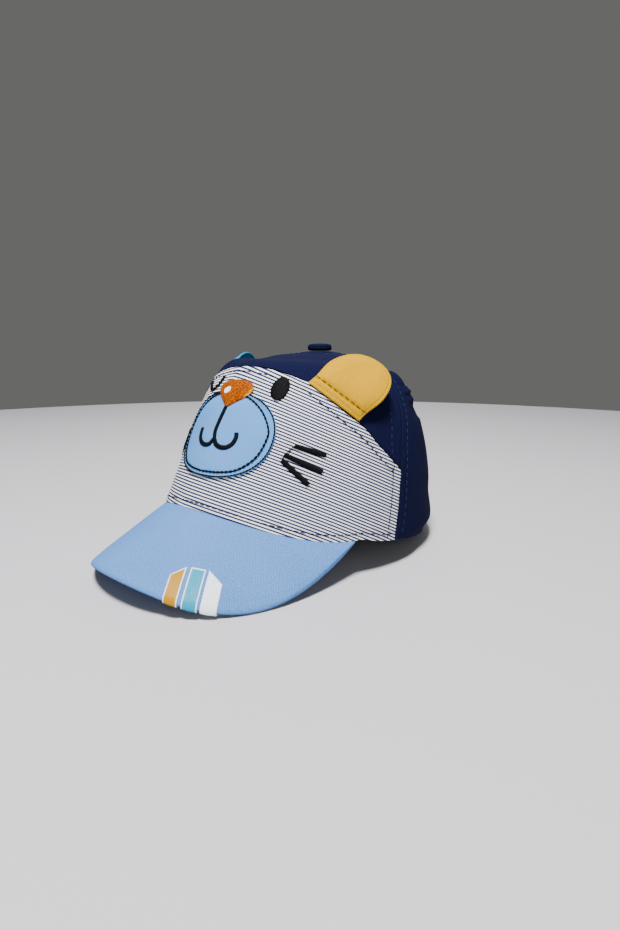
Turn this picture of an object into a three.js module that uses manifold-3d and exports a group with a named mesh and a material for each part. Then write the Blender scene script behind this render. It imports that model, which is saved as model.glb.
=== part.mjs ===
// A child's baseball cap with two round animal ears and an embroidered animal face.
// Millimetres, +Z up. The cap stands on its rim and brim, the brim points to -Y, and the
// wearer's left is +X.
import * as THREE from "three";
import Module from "manifold-3d";

const wasm = await Module();
wasm.setup();

// Crown: the rim is an ellipse of 495 mm, for a head of 49 to 50 cm.
const RIM_HALF_WIDTH = 73;
const RIM_HALF_LENGTH = 84;
const CROWN_HEIGHT = 106.3;
const APEX_BACK = 15.1;
const CROWN_WALL = 1.5;
const SEAM_GAP = 0.3;
const APEX_OPENING = 2.5;
const MERIDIAN_LENGTH = 138.2;

// Upright sections of the crown: fullness is a superellipse exponent, lean the inward taper.
const SECTIONS = {
  front: { fullness: 7.45, lean: 0.284 },
  side: { fullness: 2.87, lean: 0.12 },
  back: { fullness: 2.37, lean: 0.062 },
};
const SECTION_BLEND = 1.5;

// Brim: a sheet that slopes down to the front and arches from side to side.
const BRIM_LEVEL = 69.6;
const BRIM_SLOPE = 0.44;
const BRIM_ARCH = 61.2;
const BRIM_CORNER_ANGLE = 64;
const BRIM_LENGTH = 44;
const BRIM_HALF_WIDTH = 63.6;
const BRIM_ROUNDNESS = 0.6;
const BRIM_FLARE = 1.6;
const BRIM_THICKNESS = 3;
const BRIM_LIP = 1.6;
const RIM_SWEEP = 1.234;
const RIM_LEAVING = 10;
const RIM_FLAT = 0.3;

// Seams, in degrees from the front and shares of the way up the crown's cloth.
const SIDE_SEAM = [
  { rise: 0, angle: 82 },
  { rise: 0.11, angle: 83.5 },
  { rise: 0.27, angle: 85 },
  { rise: 0.37, angle: 87.5 },
  { rise: 0.5, angle: 93 },
  { rise: 0.62, angle: 98 },
  { rise: 0.78, angle: 101 },
  { rise: 1, angle: 102 },
];
const FRONT_PANEL_TOP = [
  { angle: 0, rise: 0.578 },
  { angle: 17, rise: 0.572 },
  { angle: 30, rise: 0.554 },
  { angle: 40, rise: 0.538 },
  { angle: 52, rise: 0.48 },
  { angle: 63, rise: 0.418 },
  { angle: 72, rise: 0.352 },
  { angle: 86, rise: 0.257 },
];

// Soft rolls across the back of the crown, with a dent under the lowest one.
const BACK_ROLLS = [
  { rise: 0.648, spread: 0.05, height: 2.13 },
  { rise: 0.588, spread: 0.018, height: 2.04 },
  { rise: 0.554, spread: 0.032, height: 1.1 },
  { rise: 0.501, spread: 0.039, height: -1.27 },
];
const ROLL_START = [100, 116];
const ROLL_END = [190, 232];

// The soft top sinks behind the stiff front panel, and peaks a little under the button.
const TOP_DIP = { rise: 0.73, spread: 0.08, height: -2.7, fade: [75, 105] };
const APEX_PEAK = { spread: 0.085, height: 1.4 };

// Face, in millimetres along the cloth from the front centre line and from the rim.
const FACE_LIFT = 0.35;
const MUZZLE = { across: 0, up: 39.5, halfWidth: 32.2, rise: 23.2, drop: 22.8, thickness: 1 };
const NOSE = { across: 1.8, up: 62, halfWidth: 11.2, rise: 6.7, drop: 8.7, thickness: 1.5 };
const NOSE_TIP_ACROSS = 1.2;
const EYE = { across: 26.3, up: 66.3, halfWidth: 4.2, halfHeight: 6.7, tilt: 7, thickness: 1 };
const WINK = [
  { across: -14.1, up: 71.4 },
  { across: -14.9, up: 67.2 },
  { across: -16.9, up: 64.5 },
  { across: -19.8, up: 63 },
  { across: -24.3, up: 64.2 },
  { across: -27.8, up: 66.7 },
];
const LIP_LINE = [
  { across: -11.8, up: 40.6 },
  { across: -10.8, up: 37 },
  { across: -5.3, up: 32.8 },
  { across: -0.2, up: 33 },
  { across: 1.2, up: 34 },
  { across: 4.9, up: 33.2 },
  { across: 9.6, up: 32.7 },
  { across: 13.3, up: 35.1 },
  { across: 14, up: 38.3 },
  { across: 13.5, up: 40.3 },
];
const PHILTRUM = [
  { across: 1.4, up: 52.4 },
  { across: 0.4, up: 45.3 },
  { across: 0.8, up: 34 },
];
const WHISKERS = [
  { innerAcross: 43.5, innerUp: 39.9, outerAcross: 58.7, outerUp: 37.6 },
  { innerAcross: 40.4, innerUp: 35.2, outerAcross: 59.4, outerUp: 30.1 },
  { innerAcross: 39.7, innerUp: 32.4, outerAcross: 54.7, outerUp: 24 },
];
const STITCH_WIDTH = 2;
const STITCH_HEIGHT = 0.8;

// Ears: flat pads sewn into the diagonal seam, leaning back over the crown.
const EAR = {
  width: 33.5,
  height: 39.2,
  widest: 7.65,
  baseWidth: 35.7,
  crownPower: 0.952,
  skew: 0.14,
  bow: 4.5,
  middleThickness: 4.4,
  edgeThickness: 1.8,
  lift: 1.2,
};
const EAR_UP = new THREE.Vector3(-0.016, 0.843, 0.536);

// Where each ear's foot runs, on its own side of the crown. The left one follows the front
// panel's edge. The right one starts higher and is turned in its plane, in degrees.
const LEFT_EAR = { fromAcross: 38.2, fromUp: 70.1, toAcross: 70.8, toUp: 52.4, turned: 0 };
const RIGHT_EAR = { fromAcross: 51.4, fromUp: 81, toAcross: 69.4, toUp: 51.4, turned: -15.9 };

// Tabs folded over the brim's edge, side by side. They run in from the edge, turned from +Y
// towards -X by TAB_TURN degrees. Left and right are their sides' places on the line square to
// that, and leftLength and rightLength the lengths of those sides on top of the brim.
const TAB_TURN = 32.7;
const TABS = [
  { name: "tab_yellow", left: -40.7, right: -34.6, leftLength: 9, rightLength: 13.9, colour: 0xd9a13a },
  { name: "tab_teal", left: -32.8, right: -26.3, leftLength: 14, rightLength: 13.8, colour: 0x45a3b8 },
  { name: "tab_white", left: -25, right: -18.4, leftLength: 13.8, rightLength: 8.7, colour: 0xe9edf2 },
];
const TAB_THICKNESS = 0.6;
const TAB_UNDERSIDE = 6;

const BUTTON_RADIUS = 7.05;
const BUTTON_HEIGHT = 4.2;
const BUTTON_ROUNDING = 1.8;

// The part's origin is under the middle of its length, on the surface it stands on.
const ORIGIN_SHIFT = 21.5;

const { degToRad, lerp, clamp, smoothstep } = THREE.MathUtils;

// The value of a table's column at a place in another column, between straight pieces.
function lookUp(table, place, from, to) {
  const after = table.findIndex((row) => row[from] >= place);
  if (after < 0) return table.at(-1)[to];
  if (after === 0) return table[0][to];
  const low = table[after - 1];
  const high = table[after];
  return lerp(low[to], high[to], (place - low[from]) / (high[from] - low[from]));
}

// Numbers from one value to another in equal steps, both ends included.
function steps(from, to, count) {
  return Array.from({ length: count + 1 }, (_, i) => lerp(from, to, i / count));
}

// Height of the brim's upper face over a point of the floor.
function brimHeight(x, y) {
  return BRIM_LEVEL + BRIM_SLOPE * y - (x * x) / (2 * BRIM_ARCH);
}

// Height of the crown's rim: on the brim in front, then sweeping down to the floor behind.
function rimHeight(angle) {
  const corner = degToRad(BRIM_CORNER_ANGLE);
  const away = Math.acos(clamp(Math.cos(angle), -1, 1));
  const overBrim = Math.min(away, corner);
  const x = RIM_HALF_WIDTH * Math.sin(overBrim);
  const y = -RIM_HALF_LENGTH * Math.cos(overBrim);
  const level = brimHeight(x, y) + SEAM_GAP;
  const share = Math.min(1, (Math.cos(away) + 1) / (Math.cos(corner) + 1));
  const leaving = smoothstep(away, corner, corner + degToRad(RIM_LEAVING));
  const sweep = Math.max(0, level * share ** RIM_SWEEP - RIM_FLAT);
  return lerp(level, sweep, leaving);
}

// How much higher the brim lies under the rim's inner edge than under its outer one.
function brimRise(angle, depth) {
  const near = 1 - smoothstep(Math.abs(angle), degToRad(BRIM_CORNER_ANGLE), degToRad(SIDE_SEAM[0].angle));
  const x = (share) => (RIM_HALF_WIDTH - share) * Math.sin(angle);
  const y = (share) => -(RIM_HALF_LENGTH - share) * Math.cos(angle);
  return near * (brimHeight(x(depth), y(depth)) - brimHeight(x(0), y(0)));
}

// Fullness and lean of the crown's upright section in one direction.
function sectionAt(angle) {
  const front = Math.max(Math.cos(angle), 0) ** SECTION_BLEND;
  const back = Math.max(-Math.cos(angle), 0) ** SECTION_BLEND;
  const side = 1 - front - back;
  const mix = (key) =>
    front * SECTIONS.front[key] + side * SECTIONS.side[key] + back * SECTIONS.back[key];
  return { fullness: mix("fullness"), lean: mix("lean") };
}

// A point of the crown from its direction, its share of the rim's radius and of the height.
function crownAt(angle, radius, height) {
  const reach = radius * (1 - sectionAt(angle).lean * height);
  return new THREE.Vector3(
    RIM_HALF_WIDTH * Math.sin(angle) * reach,
    -RIM_HALF_LENGTH * Math.cos(angle) * reach + APEX_BACK * height,
    lerp(rimHeight(angle), CROWN_HEIGHT, height),
  );
}

// A point of the crown at a share of its height.
function crownAtHeight(angle, height) {
  const { fullness } = sectionAt(angle);
  return crownAt(angle, (1 - height ** fullness) ** (1 / fullness), height);
}

// The crown's section in one direction as points with their lengths from the rim.
const meridians = new Map();
function meridian(angle) {
  const key = angle.toFixed(4);
  if (!meridians.has(key)) {
    const { fullness } = sectionAt(angle);
    const rows = [];
    for (const turn of steps(0, Math.PI / 2, 90)) {
      const scale = (Math.cos(turn) ** fullness + Math.sin(turn) ** fullness) ** (-1 / fullness);
      const height = Math.min(scale * Math.sin(turn), 1);
      const radius = Math.max(scale * Math.cos(turn), 0);
      const point = crownAt(angle, radius, height);
      const last = rows.at(-1);
      const length = last ? last.length + point.distanceTo(last.point) : 0;
      rows.push({ point, radius, height, length });
    }
    meridians.set(key, rows);
  }
  return meridians.get(key);
}

// A point of the smooth crown at a share of the way up its cloth.
function smoothCrown(angle, rise) {
  const rows = meridian(angle);
  const length = rise * rows.at(-1).length;
  const radius = lookUp(rows, length, "length", "radius");
  const height = lookUp(rows, length, "length", "height");
  return crownAt(angle, radius, height);
}

// The outward direction of a surface given by a function of two values.
function normalOf(surface, a, b, stepA, stepB) {
  const along = surface(a + stepA, b).sub(surface(a - stepA, b));
  const up = surface(a, b + stepB).sub(surface(a, b - stepB));
  return along.cross(up).normalize();
}

// How far the cloth stands off the smooth crown: the rolls behind, the dip and the peak on top.
function reliefHeight(angle, rise) {
  const degrees = THREE.MathUtils.radToDeg(angle);
  const away = Math.min(Math.abs(degrees), 360 - degrees);
  const dip = TOP_DIP.height * Math.exp(-(((rise - TOP_DIP.rise) / TOP_DIP.spread) ** 2));
  const peak = APEX_PEAK.height * Math.exp(-(((1 - rise) / APEX_PEAK.spread) ** 4));
  const around = smoothstep(degrees, ...ROLL_START) * (1 - smoothstep(degrees, ...ROLL_END));
  let out = 0;
  for (const roll of BACK_ROLLS) {
    const off = (rise - roll.rise) / roll.spread;
    out += roll.height * Math.sqrt(Math.max(0, 1 - off * off));
  }
  return out * around + dip * (1 - smoothstep(away, ...TOP_DIP.fade)) + peak;
}

// A point of the crown at a depth inside its outer face.
function crownPoint(angle, rise, depth) {
  const out = normalOf(smoothCrown, angle, rise, 0.01, 0.004);
  if (rise === 0) out.z = 0;
  const point = smoothCrown(angle, rise).addScaledVector(out, reliefHeight(angle, rise) - depth);
  if (rise === 0) point.z += brimRise(angle, depth);
  return point;
}

// A closed solid between two grids of points. Rows run up and columns to the wearer's left on
// the face that looks out.
function slab(front, back) {
  const rows = front.length;
  const columns = front[0].length;
  const last = columns - 1;
  const at = (side, row, column) => (side * rows + row) * columns + column;
  const index = [];
  const quad = (a, b, c, d) => index.push(a, b, c, a, c, d);
  for (let r = 0; r + 1 < rows; r++) {
    for (let c = 0; c + 1 < columns; c++) {
      quad(at(0, r, c), at(0, r, c + 1), at(0, r + 1, c + 1), at(0, r + 1, c));
      quad(at(1, r, c), at(1, r + 1, c), at(1, r + 1, c + 1), at(1, r, c + 1));
    }
    quad(at(0, r, 0), at(0, r + 1, 0), at(1, r + 1, 0), at(1, r, 0));
    quad(at(1, r, last), at(1, r + 1, last), at(0, r + 1, last), at(0, r, last));
  }
  for (let c = 0; c + 1 < columns; c++) {
    quad(at(1, 0, c), at(1, 0, c + 1), at(0, 0, c + 1), at(0, 0, c));
    quad(at(0, rows - 1, c), at(0, rows - 1, c + 1), at(1, rows - 1, c + 1), at(1, rows - 1, c));
  }
  return geometryOf([...front.flat(), ...back.flat()], index);
}

// A closed pad inside an outline: rings run from the outline to its middle, and place gives the
// point for a place in the outline's plane, a share of the way in and a side of 1 or -1.
function pad(outline, middle, ringShares, place) {
  const count = outline.length;
  const points = [];
  for (const side of [1, -1]) {
    for (const share of ringShares) {
      for (const corner of outline) points.push(place(corner.clone().lerp(middle, share), share, side));
    }
    points.push(place(middle.clone(), 1, side));
  }
  const perSide = ringShares.length * count + 1;
  const at = (side, ring, corner) => side * perSide + ring * count + (corner % count);
  const index = [];
  for (const side of [0, 1]) {
    const turned = side === 0 ? (a, b, c) => index.push(a, b, c) : (a, b, c) => index.push(a, c, b);
    for (let k = 0; k < count; k++) {
      for (let ring = 0; ring + 1 < ringShares.length; ring++) {
        turned(at(side, ring, k), at(side, ring, k + 1), at(side, ring + 1, k + 1));
        turned(at(side, ring, k), at(side, ring + 1, k + 1), at(side, ring + 1, k));
      }
      const inner = ringShares.length - 1;
      turned(at(side, inner, k), at(side, inner, k + 1), side * perSide + perSide - 1);
    }
  }
  for (let k = 0; k < count; k++) {
    index.push(at(1, 0, k), at(1, 0, k + 1), at(0, 0, k + 1));
    index.push(at(1, 0, k), at(0, 0, k + 1), at(0, 0, k));
  }
  return geometryOf(points, index);
}

function geometryOf(points, index) {
  const positions = points.flatMap((point) => point.toArray());
  const geometry = new THREE.BufferGeometry();
  geometry.setAttribute("position", new THREE.Float32BufferAttribute(positions, 3));
  geometry.setIndex(index);
  geometry.computeVertexNormals();
  return geometry;
}

// Two closed meshes joined into one.
function joined(first, second) {
  const solid = ({ attributes, index }) =>
    new wasm.Manifold(
      new wasm.Mesh({
        numProp: 3,
        vertProperties: attributes.position.array,
        triVerts: Uint32Array.from(index.array),
      }),
    );
  const mesh = solid(first).add(solid(second)).getMesh();
  const geometry = new THREE.BufferGeometry();
  geometry.setAttribute("position", new THREE.BufferAttribute(mesh.vertProperties, 3));
  geometry.setIndex(new THREE.BufferAttribute(mesh.triVerts, 1));
  geometry.computeVertexNormals();
  return geometry;
}

// The front panel's top edge: how far up the cloth it lies at a share of the way to the seam.
function frontPanelTop(share) {
  let rise = FRONT_PANEL_TOP[0].rise;
  for (let round = 0; round < 8; round++) {
    const angle = Math.abs(share) * lookUp(SIDE_SEAM, rise, "rise", "angle");
    rise = lookUp(FRONT_PANEL_TOP, angle, "angle", "rise");
  }
  return rise;
}

// A crown panel between two directions and two heights, each a function of the place in it.
function crownPanel(columns, rows, angleAt, riseAt) {
  const grid = (depth) =>
    rows.map((row) =>
      columns.map((column) => {
        const rise = riseAt(column, row);
        return crownPoint(angleAt(column, rise), rise, depth);
      }),
    );
  return slab(grid(0), grid(CROWN_WALL));
}

const seamHalfShare = SEAM_GAP / 2 / (degToRad(85) * RIM_HALF_WIDTH);
const riseGap = (0.6 * SEAM_GAP) / MERIDIAN_LENGTH;
const topRise = 1 - APEX_OPENING / MERIDIAN_LENGTH;
const seamAngle = (rise) => degToRad(lookUp(SIDE_SEAM, rise, "rise", "angle"));

// Seams draw closer to each other near the button, so their gap takes a larger angle there.
function gapAngle(rise) {
  const level = smoothCrown(Math.PI / 2, rise);
  return SEAM_GAP / 2 / Math.max(level.x, 1);
}

function frontPanel() {
  const edge = 1 - seamHalfShare;
  return crownPanel(
    steps(-edge, edge, 32),
    steps(0, 1, 12),
    (share, rise) => share * seamAngle(rise),
    (share, row) => row * (frontPanelTop(share) - riseGap),
  );
}

function crownYoke() {
  return crownPanel(
    steps(-1, 1, 28),
    steps(0, 1, 9),
    (share, rise) => share * (seamAngle(rise) - gapAngle(rise)),
    (share, row) => lerp(frontPanelTop(share) + riseGap, topRise, row),
  );
}

// A back panel. Side is 1 for the wearer's left and -1 for the right, whose columns run on
// past the centre back.
function backPanel(side) {
  const rows = [
    ...steps(0, 0.42, 6),
    ...steps(0.45, 0.735, 18),
    ...steps(0.8, topRise, 3),
  ];
  const centre = Math.PI;
  return crownPanel(
    steps(0, 1, 14),
    rows,
    (column, rise) => {
      const seam = seamAngle(rise) + gapAngle(rise);
      const middle = centre - gapAngle(rise);
      return side > 0
        ? lerp(seam, middle, column)
        : lerp(2 * centre - middle, 2 * centre - seam, column);
    },
    (column, row) => row,
  );
}

// A point of the brim's upper face: across is -1 to 1 along it, out is 0 at the crown.
function brimPoint(across, out) {
  const corner = degToRad(BRIM_CORNER_ANGLE);
  const inner = corner * across;
  const inset = CROWN_WALL * (1 - Math.abs(across) ** 8);
  const innerX = (RIM_HALF_WIDTH - inset) * Math.sin(inner);
  const innerY = -(RIM_HALF_LENGTH - inset) * Math.cos(inner);
  const cornerX = RIM_HALF_WIDTH * Math.sin(corner);
  const cornerY = -RIM_HALF_LENGTH * Math.cos(corner);
  const sine = Math.sin((Math.PI / 2) * across);
  const cosine = Math.max(Math.cos((Math.PI / 2) * across), 0);
  const flare = (BRIM_HALF_WIDTH - cornerX) * BRIM_FLARE * Math.sqrt(cosine);
  const outerX = sine * (cornerX + flare);
  const tipY = -RIM_HALF_LENGTH - BRIM_LENGTH;
  const outerY = lerp(cornerY, tipY, cosine ** BRIM_ROUNDNESS);
  const x = lerp(innerX, outerX, out);
  const y = lerp(innerY, outerY, out);
  return new THREE.Vector3(x, y, brimHeight(x, y));
}

// How thick the brim is: it thins towards its rounded lip.
function brimThickness(out) {
  return lerp(BRIM_THICKNESS, BRIM_LIP, smoothstep(out, 0.93, 1));
}

function brim() {
  const half = [0, 0.1, 0.2, 0.3, 0.4, 0.5, 0.6, 0.7, 0.79, 0.87, 0.93, 0.97, 0.99, 0.998];
  const columns = [...half.slice(1).reverse().map((share) => -share), ...half];
  const rows = [1, 0.97, 0.93, 0.82, 0.68, 0.54, 0.4, 0.26, 0.12, 0];
  const grid = (depthAt) =>
    rows.map((out) =>
      columns.map((across) => {
        const point = brimPoint(across, out);
        point.z -= depthAt(out);
        return point;
      }),
    );
  const sunk = (out) => (BRIM_THICKNESS - brimThickness(out)) / 2;
  return slab(grid(sunk), grid((out) => sunk(out) + brimThickness(out)));
}

// A point over the front panel, measured along its cloth, and lifted off it.
function facePoint(across, up, lift) {
  const height = lookUp(meridian(0), up, "length", "height");
  const level = (angle, share) => crownAtHeight(angle, share);
  const walk = across / 40;
  let angle = 0;
  for (let step = 0; step < 40; step++) {
    const width = level(angle + 0.01, height).distanceTo(level(angle - 0.01, height)) / 0.02;
    angle += walk / width;
  }
  const out = normalOf(level, angle, height, 0.01, 0.004);
  return level(angle, height).addScaledVector(out, lift);
}

// A flat patch on the front panel, thinner at its edge.
function facePatch(outline, middle, rings, base, thickness) {
  return pad(outline, middle, rings, (place, share, side) => {
    const top = thickness * lerp(0.6, 1, smoothstep(share, 0, 0.3));
    return facePoint(place.x, place.y, base + (side > 0 ? top : 0));
  });
}

// An egg or ellipse outline, counterclockwise, with its own rise and drop from its middle.
function ovalOutline({ across, up, halfWidth, rise, drop }, count, squareness) {
  const outline = [];
  for (let k = 0; k < count; k++) {
    const turn = (2 * Math.PI * k) / count;
    const round = (value) => Math.sign(value) * Math.abs(value) ** squareness;
    const x = halfWidth * round(Math.cos(turn));
    const y = (turn < Math.PI ? rise : drop) * round(Math.sin(turn));
    outline.push(new THREE.Vector2(across + x, up + y));
  }
  return outline;
}

function muzzlePatch() {
  const middle = new THREE.Vector2(MUZZLE.across, MUZZLE.up);
  const outline = ovalOutline(MUZZLE, 36, 0.92);
  return facePatch(outline, middle, [0, 0.12, 0.4, 0.7], FACE_LIFT, MUZZLE.thickness);
}

// A rounded triangle, point down.
function nose() {
  const middle = new THREE.Vector2(NOSE.across, NOSE.up);
  const outline = ovalOutline(NOSE, 28, 0.9).map((corner) => {
    const below = clamp((NOSE.up - corner.y) / NOSE.drop, 0, 1);
    const narrowed = NOSE.across + (corner.x - NOSE.across) * (1 - 0.3 * below);
    corner.x = lerp(narrowed, NOSE_TIP_ACROSS, 0.25 * below);
    return corner;
  });
  const base = 2 * FACE_LIFT + MUZZLE.thickness;
  return facePatch(outline, middle, [0, 0.25, 0.6], base, NOSE.thickness);
}

function openEye() {
  const middle = new THREE.Vector2(EYE.across, EYE.up);
  const oval = { ...EYE, rise: EYE.halfHeight, drop: EYE.halfHeight };
  const outline = ovalOutline(oval, 24, 1);
  outline.forEach((corner) => corner.rotateAround(middle, degToRad(EYE.tilt)));
  return facePatch(outline, middle, [0, 0.25, 0.6], FACE_LIFT, EYE.thickness);
}

// A raised line of satin stitches along a path over the front panel.
function stitchLine(path, count, base, side = 1) {
  const points = path.map(({ across, up }) => new THREE.Vector3(side * across, up, 0));
  const curve = new THREE.CatmullRomCurve3(points);
  const row = (share, top) => {
    const place = curve.getPoint(share);
    const along = curve.getTangent(share);
    const taper = share === 0 || share === 1 ? 0.6 : 1;
    return [-1, 0, 1].map((edge) => {
      const x = place.x + (edge * taper * along.y * STITCH_WIDTH) / 2;
      const y = place.y - (edge * taper * along.x * STITCH_WIDTH) / 2;
      const rounded = edge === 0 ? STITCH_HEIGHT : STITCH_HEIGHT / 2;
      return facePoint(x, y, base + (top ? rounded : 0));
    });
  };
  const shares = steps(0, 1, count);
  return slab(
    shares.map((share) => row(share, true)),
    shares.map((share) => row(share, false)),
  );
}

function mouth() {
  const base = 2 * FACE_LIFT + MUZZLE.thickness;
  return joined(stitchLine(LIP_LINE, 16, base), stitchLine(PHILTRUM, 6, base));
}

function whisker({ innerAcross, innerUp, outerAcross, outerUp }, side) {
  const path = [
    { across: innerAcross, up: innerUp },
    { across: outerAcross, up: outerUp },
  ];
  return stitchLine(path, 4, FACE_LIFT, side);
}

// A point of an ear, built on the cap's left: across and up in its plane, lifted off it, with
// its foot bent to the crown.
function earPoint(seat, across, up, lift) {
  const seam = (share) =>
    facePoint(
      lerp(seat.fromAcross, seat.toAcross, share),
      lerp(seat.fromUp, seat.toUp, share),
      EAR.lift,
    );
  const start = seam(0);
  const end = seam(1);
  const along = end.clone().sub(start).normalize();
  const middle = start.clone().add(end).multiplyScalar(0.5);
  const flat = middle.clone().addScaledVector(along, across);
  const foot = seam(clamp(across / EAR.baseWidth + 0.5, 0, 1));
  const straight = smoothstep(up, 0, 0.45 * EAR.height);
  const out = along.clone().cross(EAR_UP).normalize();
  const upward = EAR_UP.clone().applyAxisAngle(out, degToRad(seat.turned));
  const share = up / EAR.height;
  const bow = EAR.bow * 4 * share * (1 - share);
  return foot
    .lerp(flat, straight)
    .addScaledVector(upward, up)
    .addScaledVector(along, EAR.skew * up)
    .addScaledVector(out, bow + lift);
}

// The ear's outline, counterclockwise from the right end of its straight foot.
function earOutline() {
  const outline = [];
  const halfBase = EAR.baseWidth / 2;
  const halfWidth = EAR.width / 2;
  for (const share of steps(0, 1, 4).slice(0, -1)) {
    outline.push(new THREE.Vector2(lerp(halfBase, halfWidth, Math.sqrt(share)), EAR.widest * share));
  }
  for (const turn of steps(0, Math.PI, 16)) {
    const y = (EAR.height - EAR.widest) * Math.max(Math.sin(turn), 0) ** EAR.crownPower;
    outline.push(new THREE.Vector2(halfWidth * Math.cos(turn), EAR.widest + y));
  }
  for (const share of steps(1, 0, 4).slice(1)) {
    outline.push(new THREE.Vector2(-lerp(halfBase, halfWidth, Math.sqrt(share)), EAR.widest * share));
  }
  for (const share of steps(-1, 1, 6).slice(1, -1)) {
    outline.push(new THREE.Vector2(halfBase * share, 0));
  }
  return outline;
}

function ear(side, seat) {
  const middle = new THREE.Vector2(0, 0.45 * EAR.height);
  const outline = side > 0 ? earOutline() : earOutline().reverse();
  return pad(outline, middle, [0, 0.12, 0.36, 0.7], (place, share, face) => {
    const plump = Math.sqrt(smoothstep(share, 0, 0.6));
    const thickness = lerp(EAR.edgeThickness, EAR.middleThickness, plump);
    const point = earPoint(seat, place.x, place.y, (face * thickness) / 2);
    point.x *= side;
    return point;
  });
}

const tabInward = new THREE.Vector3(-Math.sin(degToRad(TAB_TURN)), Math.cos(degToRad(TAB_TURN)), 0);
const tabAcross = new THREE.Vector3(tabInward.y, -tabInward.x, 0);

// The brim's share across where its edge reaches a place on the line square to the tabs.
function brimShareAt(place) {
  let share = 0;
  while (tabAcross.dot(brimPoint(share, 1)) < place) share += 0.0005;
  return share;
}

// A strip of cloth laid in from the brim's edge, round the lip and back under it.
function tab({ left, right, leftLength, rightLength }) {
  const columns = steps(left, right, 3);
  const under = new THREE.Vector3(0, 0, -1);
  const layer = (offset) => {
    const stations = columns.map((place, column) => {
      const edge = brimPoint(brimShareAt(place), 1);
      const topLength = lerp(leftLength, rightLength, column / (columns.length - 1));
      const at = (reach, depth) => {
        const x = edge.x + tabInward.x * reach;
        const y = edge.y + tabInward.y * reach;
        return new THREE.Vector3(x, y, brimHeight(x, y)).addScaledVector(under, depth);
      };
      const clear = SEAM_GAP + offset;
      const thinning = (BRIM_THICKNESS - BRIM_LIP) / 2;
      return [
        at(topLength, -clear),
        at(topLength / 2, -clear),
        at(3, -clear),
        at(0, thinning - clear),
        at(-clear, BRIM_THICKNESS / 2 - BRIM_LIP / 4),
        at(-clear, BRIM_THICKNESS / 2 + BRIM_LIP / 4),
        at(0, BRIM_THICKNESS - thinning + clear),
        at(3, BRIM_THICKNESS + clear),
        at(TAB_UNDERSIDE, BRIM_THICKNESS + clear),
      ];
    });
    const rows = stations[0].map((_, row) => stations.map((station) => station[row]));
    return rows.reverse();
  };
  return slab(layer(TAB_THICKNESS), layer(0));
}

// A cloth-covered button: upright sides, a rounded edge and a nearly flat top.
function topButton() {
  const profile = [new THREE.Vector2(0, 0), new THREE.Vector2(BUTTON_RADIUS * 0.97, 0)];
  for (const turn of steps(0, Math.PI / 2, 5)) {
    const x = BUTTON_RADIUS - BUTTON_ROUNDING * (1 - Math.cos(turn));
    const z = BUTTON_HEIGHT - 0.2 - BUTTON_ROUNDING * (1 - Math.sin(turn));
    profile.push(new THREE.Vector2(x, z));
  }
  profile.push(new THREE.Vector2(0, BUTTON_HEIGHT));
  return new THREE.LatheGeometry(profile, 20);
}

function piece(name, geometry, colour, roughness = 0.9) {
  const material = new THREE.MeshStandardMaterial({ color: colour, roughness, metalness: 0 });
  const mesh = new THREE.Mesh(geometry, material);
  mesh.name = name;
  return mesh;
}

const NAVY = 0x1c2344;
const STRIPED_WHITE = 0xdfe3ee;
const SKY_BLUE = 0x8fb4d6;
const PALE_BLUE = 0xa9c9e6;
const EAR_YELLOW = 0xe2a63a;
const EAR_TEAL = 0x3a9fc0;
const NOSE_ORANGE = 0xb8651f;
const BLACK = 0x12141a;
const SATIN = 0.45;

const cap = new THREE.Group();
cap.position.y = ORIGIN_SHIFT;

cap.add(piece("front_panel", frontPanel(), STRIPED_WHITE));
cap.add(piece("crown_yoke", crownYoke(), NAVY));
cap.add(piece("back_panel_left", backPanel(1), NAVY));
cap.add(piece("back_panel_right", backPanel(-1), NAVY));
cap.add(piece("brim", brim(), SKY_BLUE));
cap.add(piece("ear_left", ear(1, LEFT_EAR), EAR_YELLOW));
cap.add(piece("ear_right", ear(-1, RIGHT_EAR), EAR_TEAL));
cap.add(piece("muzzle_patch", muzzlePatch(), PALE_BLUE));
cap.add(piece("nose", nose(), NOSE_ORANGE, SATIN));
cap.add(piece("eye_open", openEye(), BLACK, SATIN));
cap.add(piece("eye_wink", stitchLine(WINK, 14, FACE_LIFT), BLACK, SATIN));
cap.add(piece("mouth", mouth(), BLACK, SATIN));
for (const [side, word] of [
  [1, "left"],
  [-1, "right"],
]) {
  WHISKERS.forEach((row, k) => {
    cap.add(piece(`whisker_${word}_${k + 1}`, whisker(row, side), BLACK, SATIN));
  });
}
for (const row of TABS) cap.add(piece(row.name, tab(row), row.colour, SATIN));

const button = piece("top_button", topButton(), NAVY);
button.rotation.x = Math.PI / 2;
button.position.set(0, APEX_BACK, CROWN_HEIGHT + APEX_PEAK.height + SEAM_GAP);
cap.add(button);

const root = new THREE.Group();
root.add(cap);

export default root;
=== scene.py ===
"""A child's baseball cap with round animal ears and an embroidered animal face."""

import math

import bpy
import numpy as np
from bpy.props import FloatProperty, FloatVectorProperty, PointerProperty
from mathutils import Matrix, Vector


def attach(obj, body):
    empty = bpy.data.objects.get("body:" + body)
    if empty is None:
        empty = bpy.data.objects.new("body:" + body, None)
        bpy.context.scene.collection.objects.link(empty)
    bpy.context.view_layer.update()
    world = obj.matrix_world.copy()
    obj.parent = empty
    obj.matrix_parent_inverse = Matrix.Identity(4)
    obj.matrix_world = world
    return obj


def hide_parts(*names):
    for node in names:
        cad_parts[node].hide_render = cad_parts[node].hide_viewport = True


bl_info = {
    "name": "Animal Ear Cap",
    "version": (1, 0, 0),
    "blender": (4, 5, 0),
    "location": "View3D > Sidebar > Cap",
    "description": "Models a child's cap with padded ears, a striped front and an embroidered face",
    "category": "Add Mesh",
}

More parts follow.
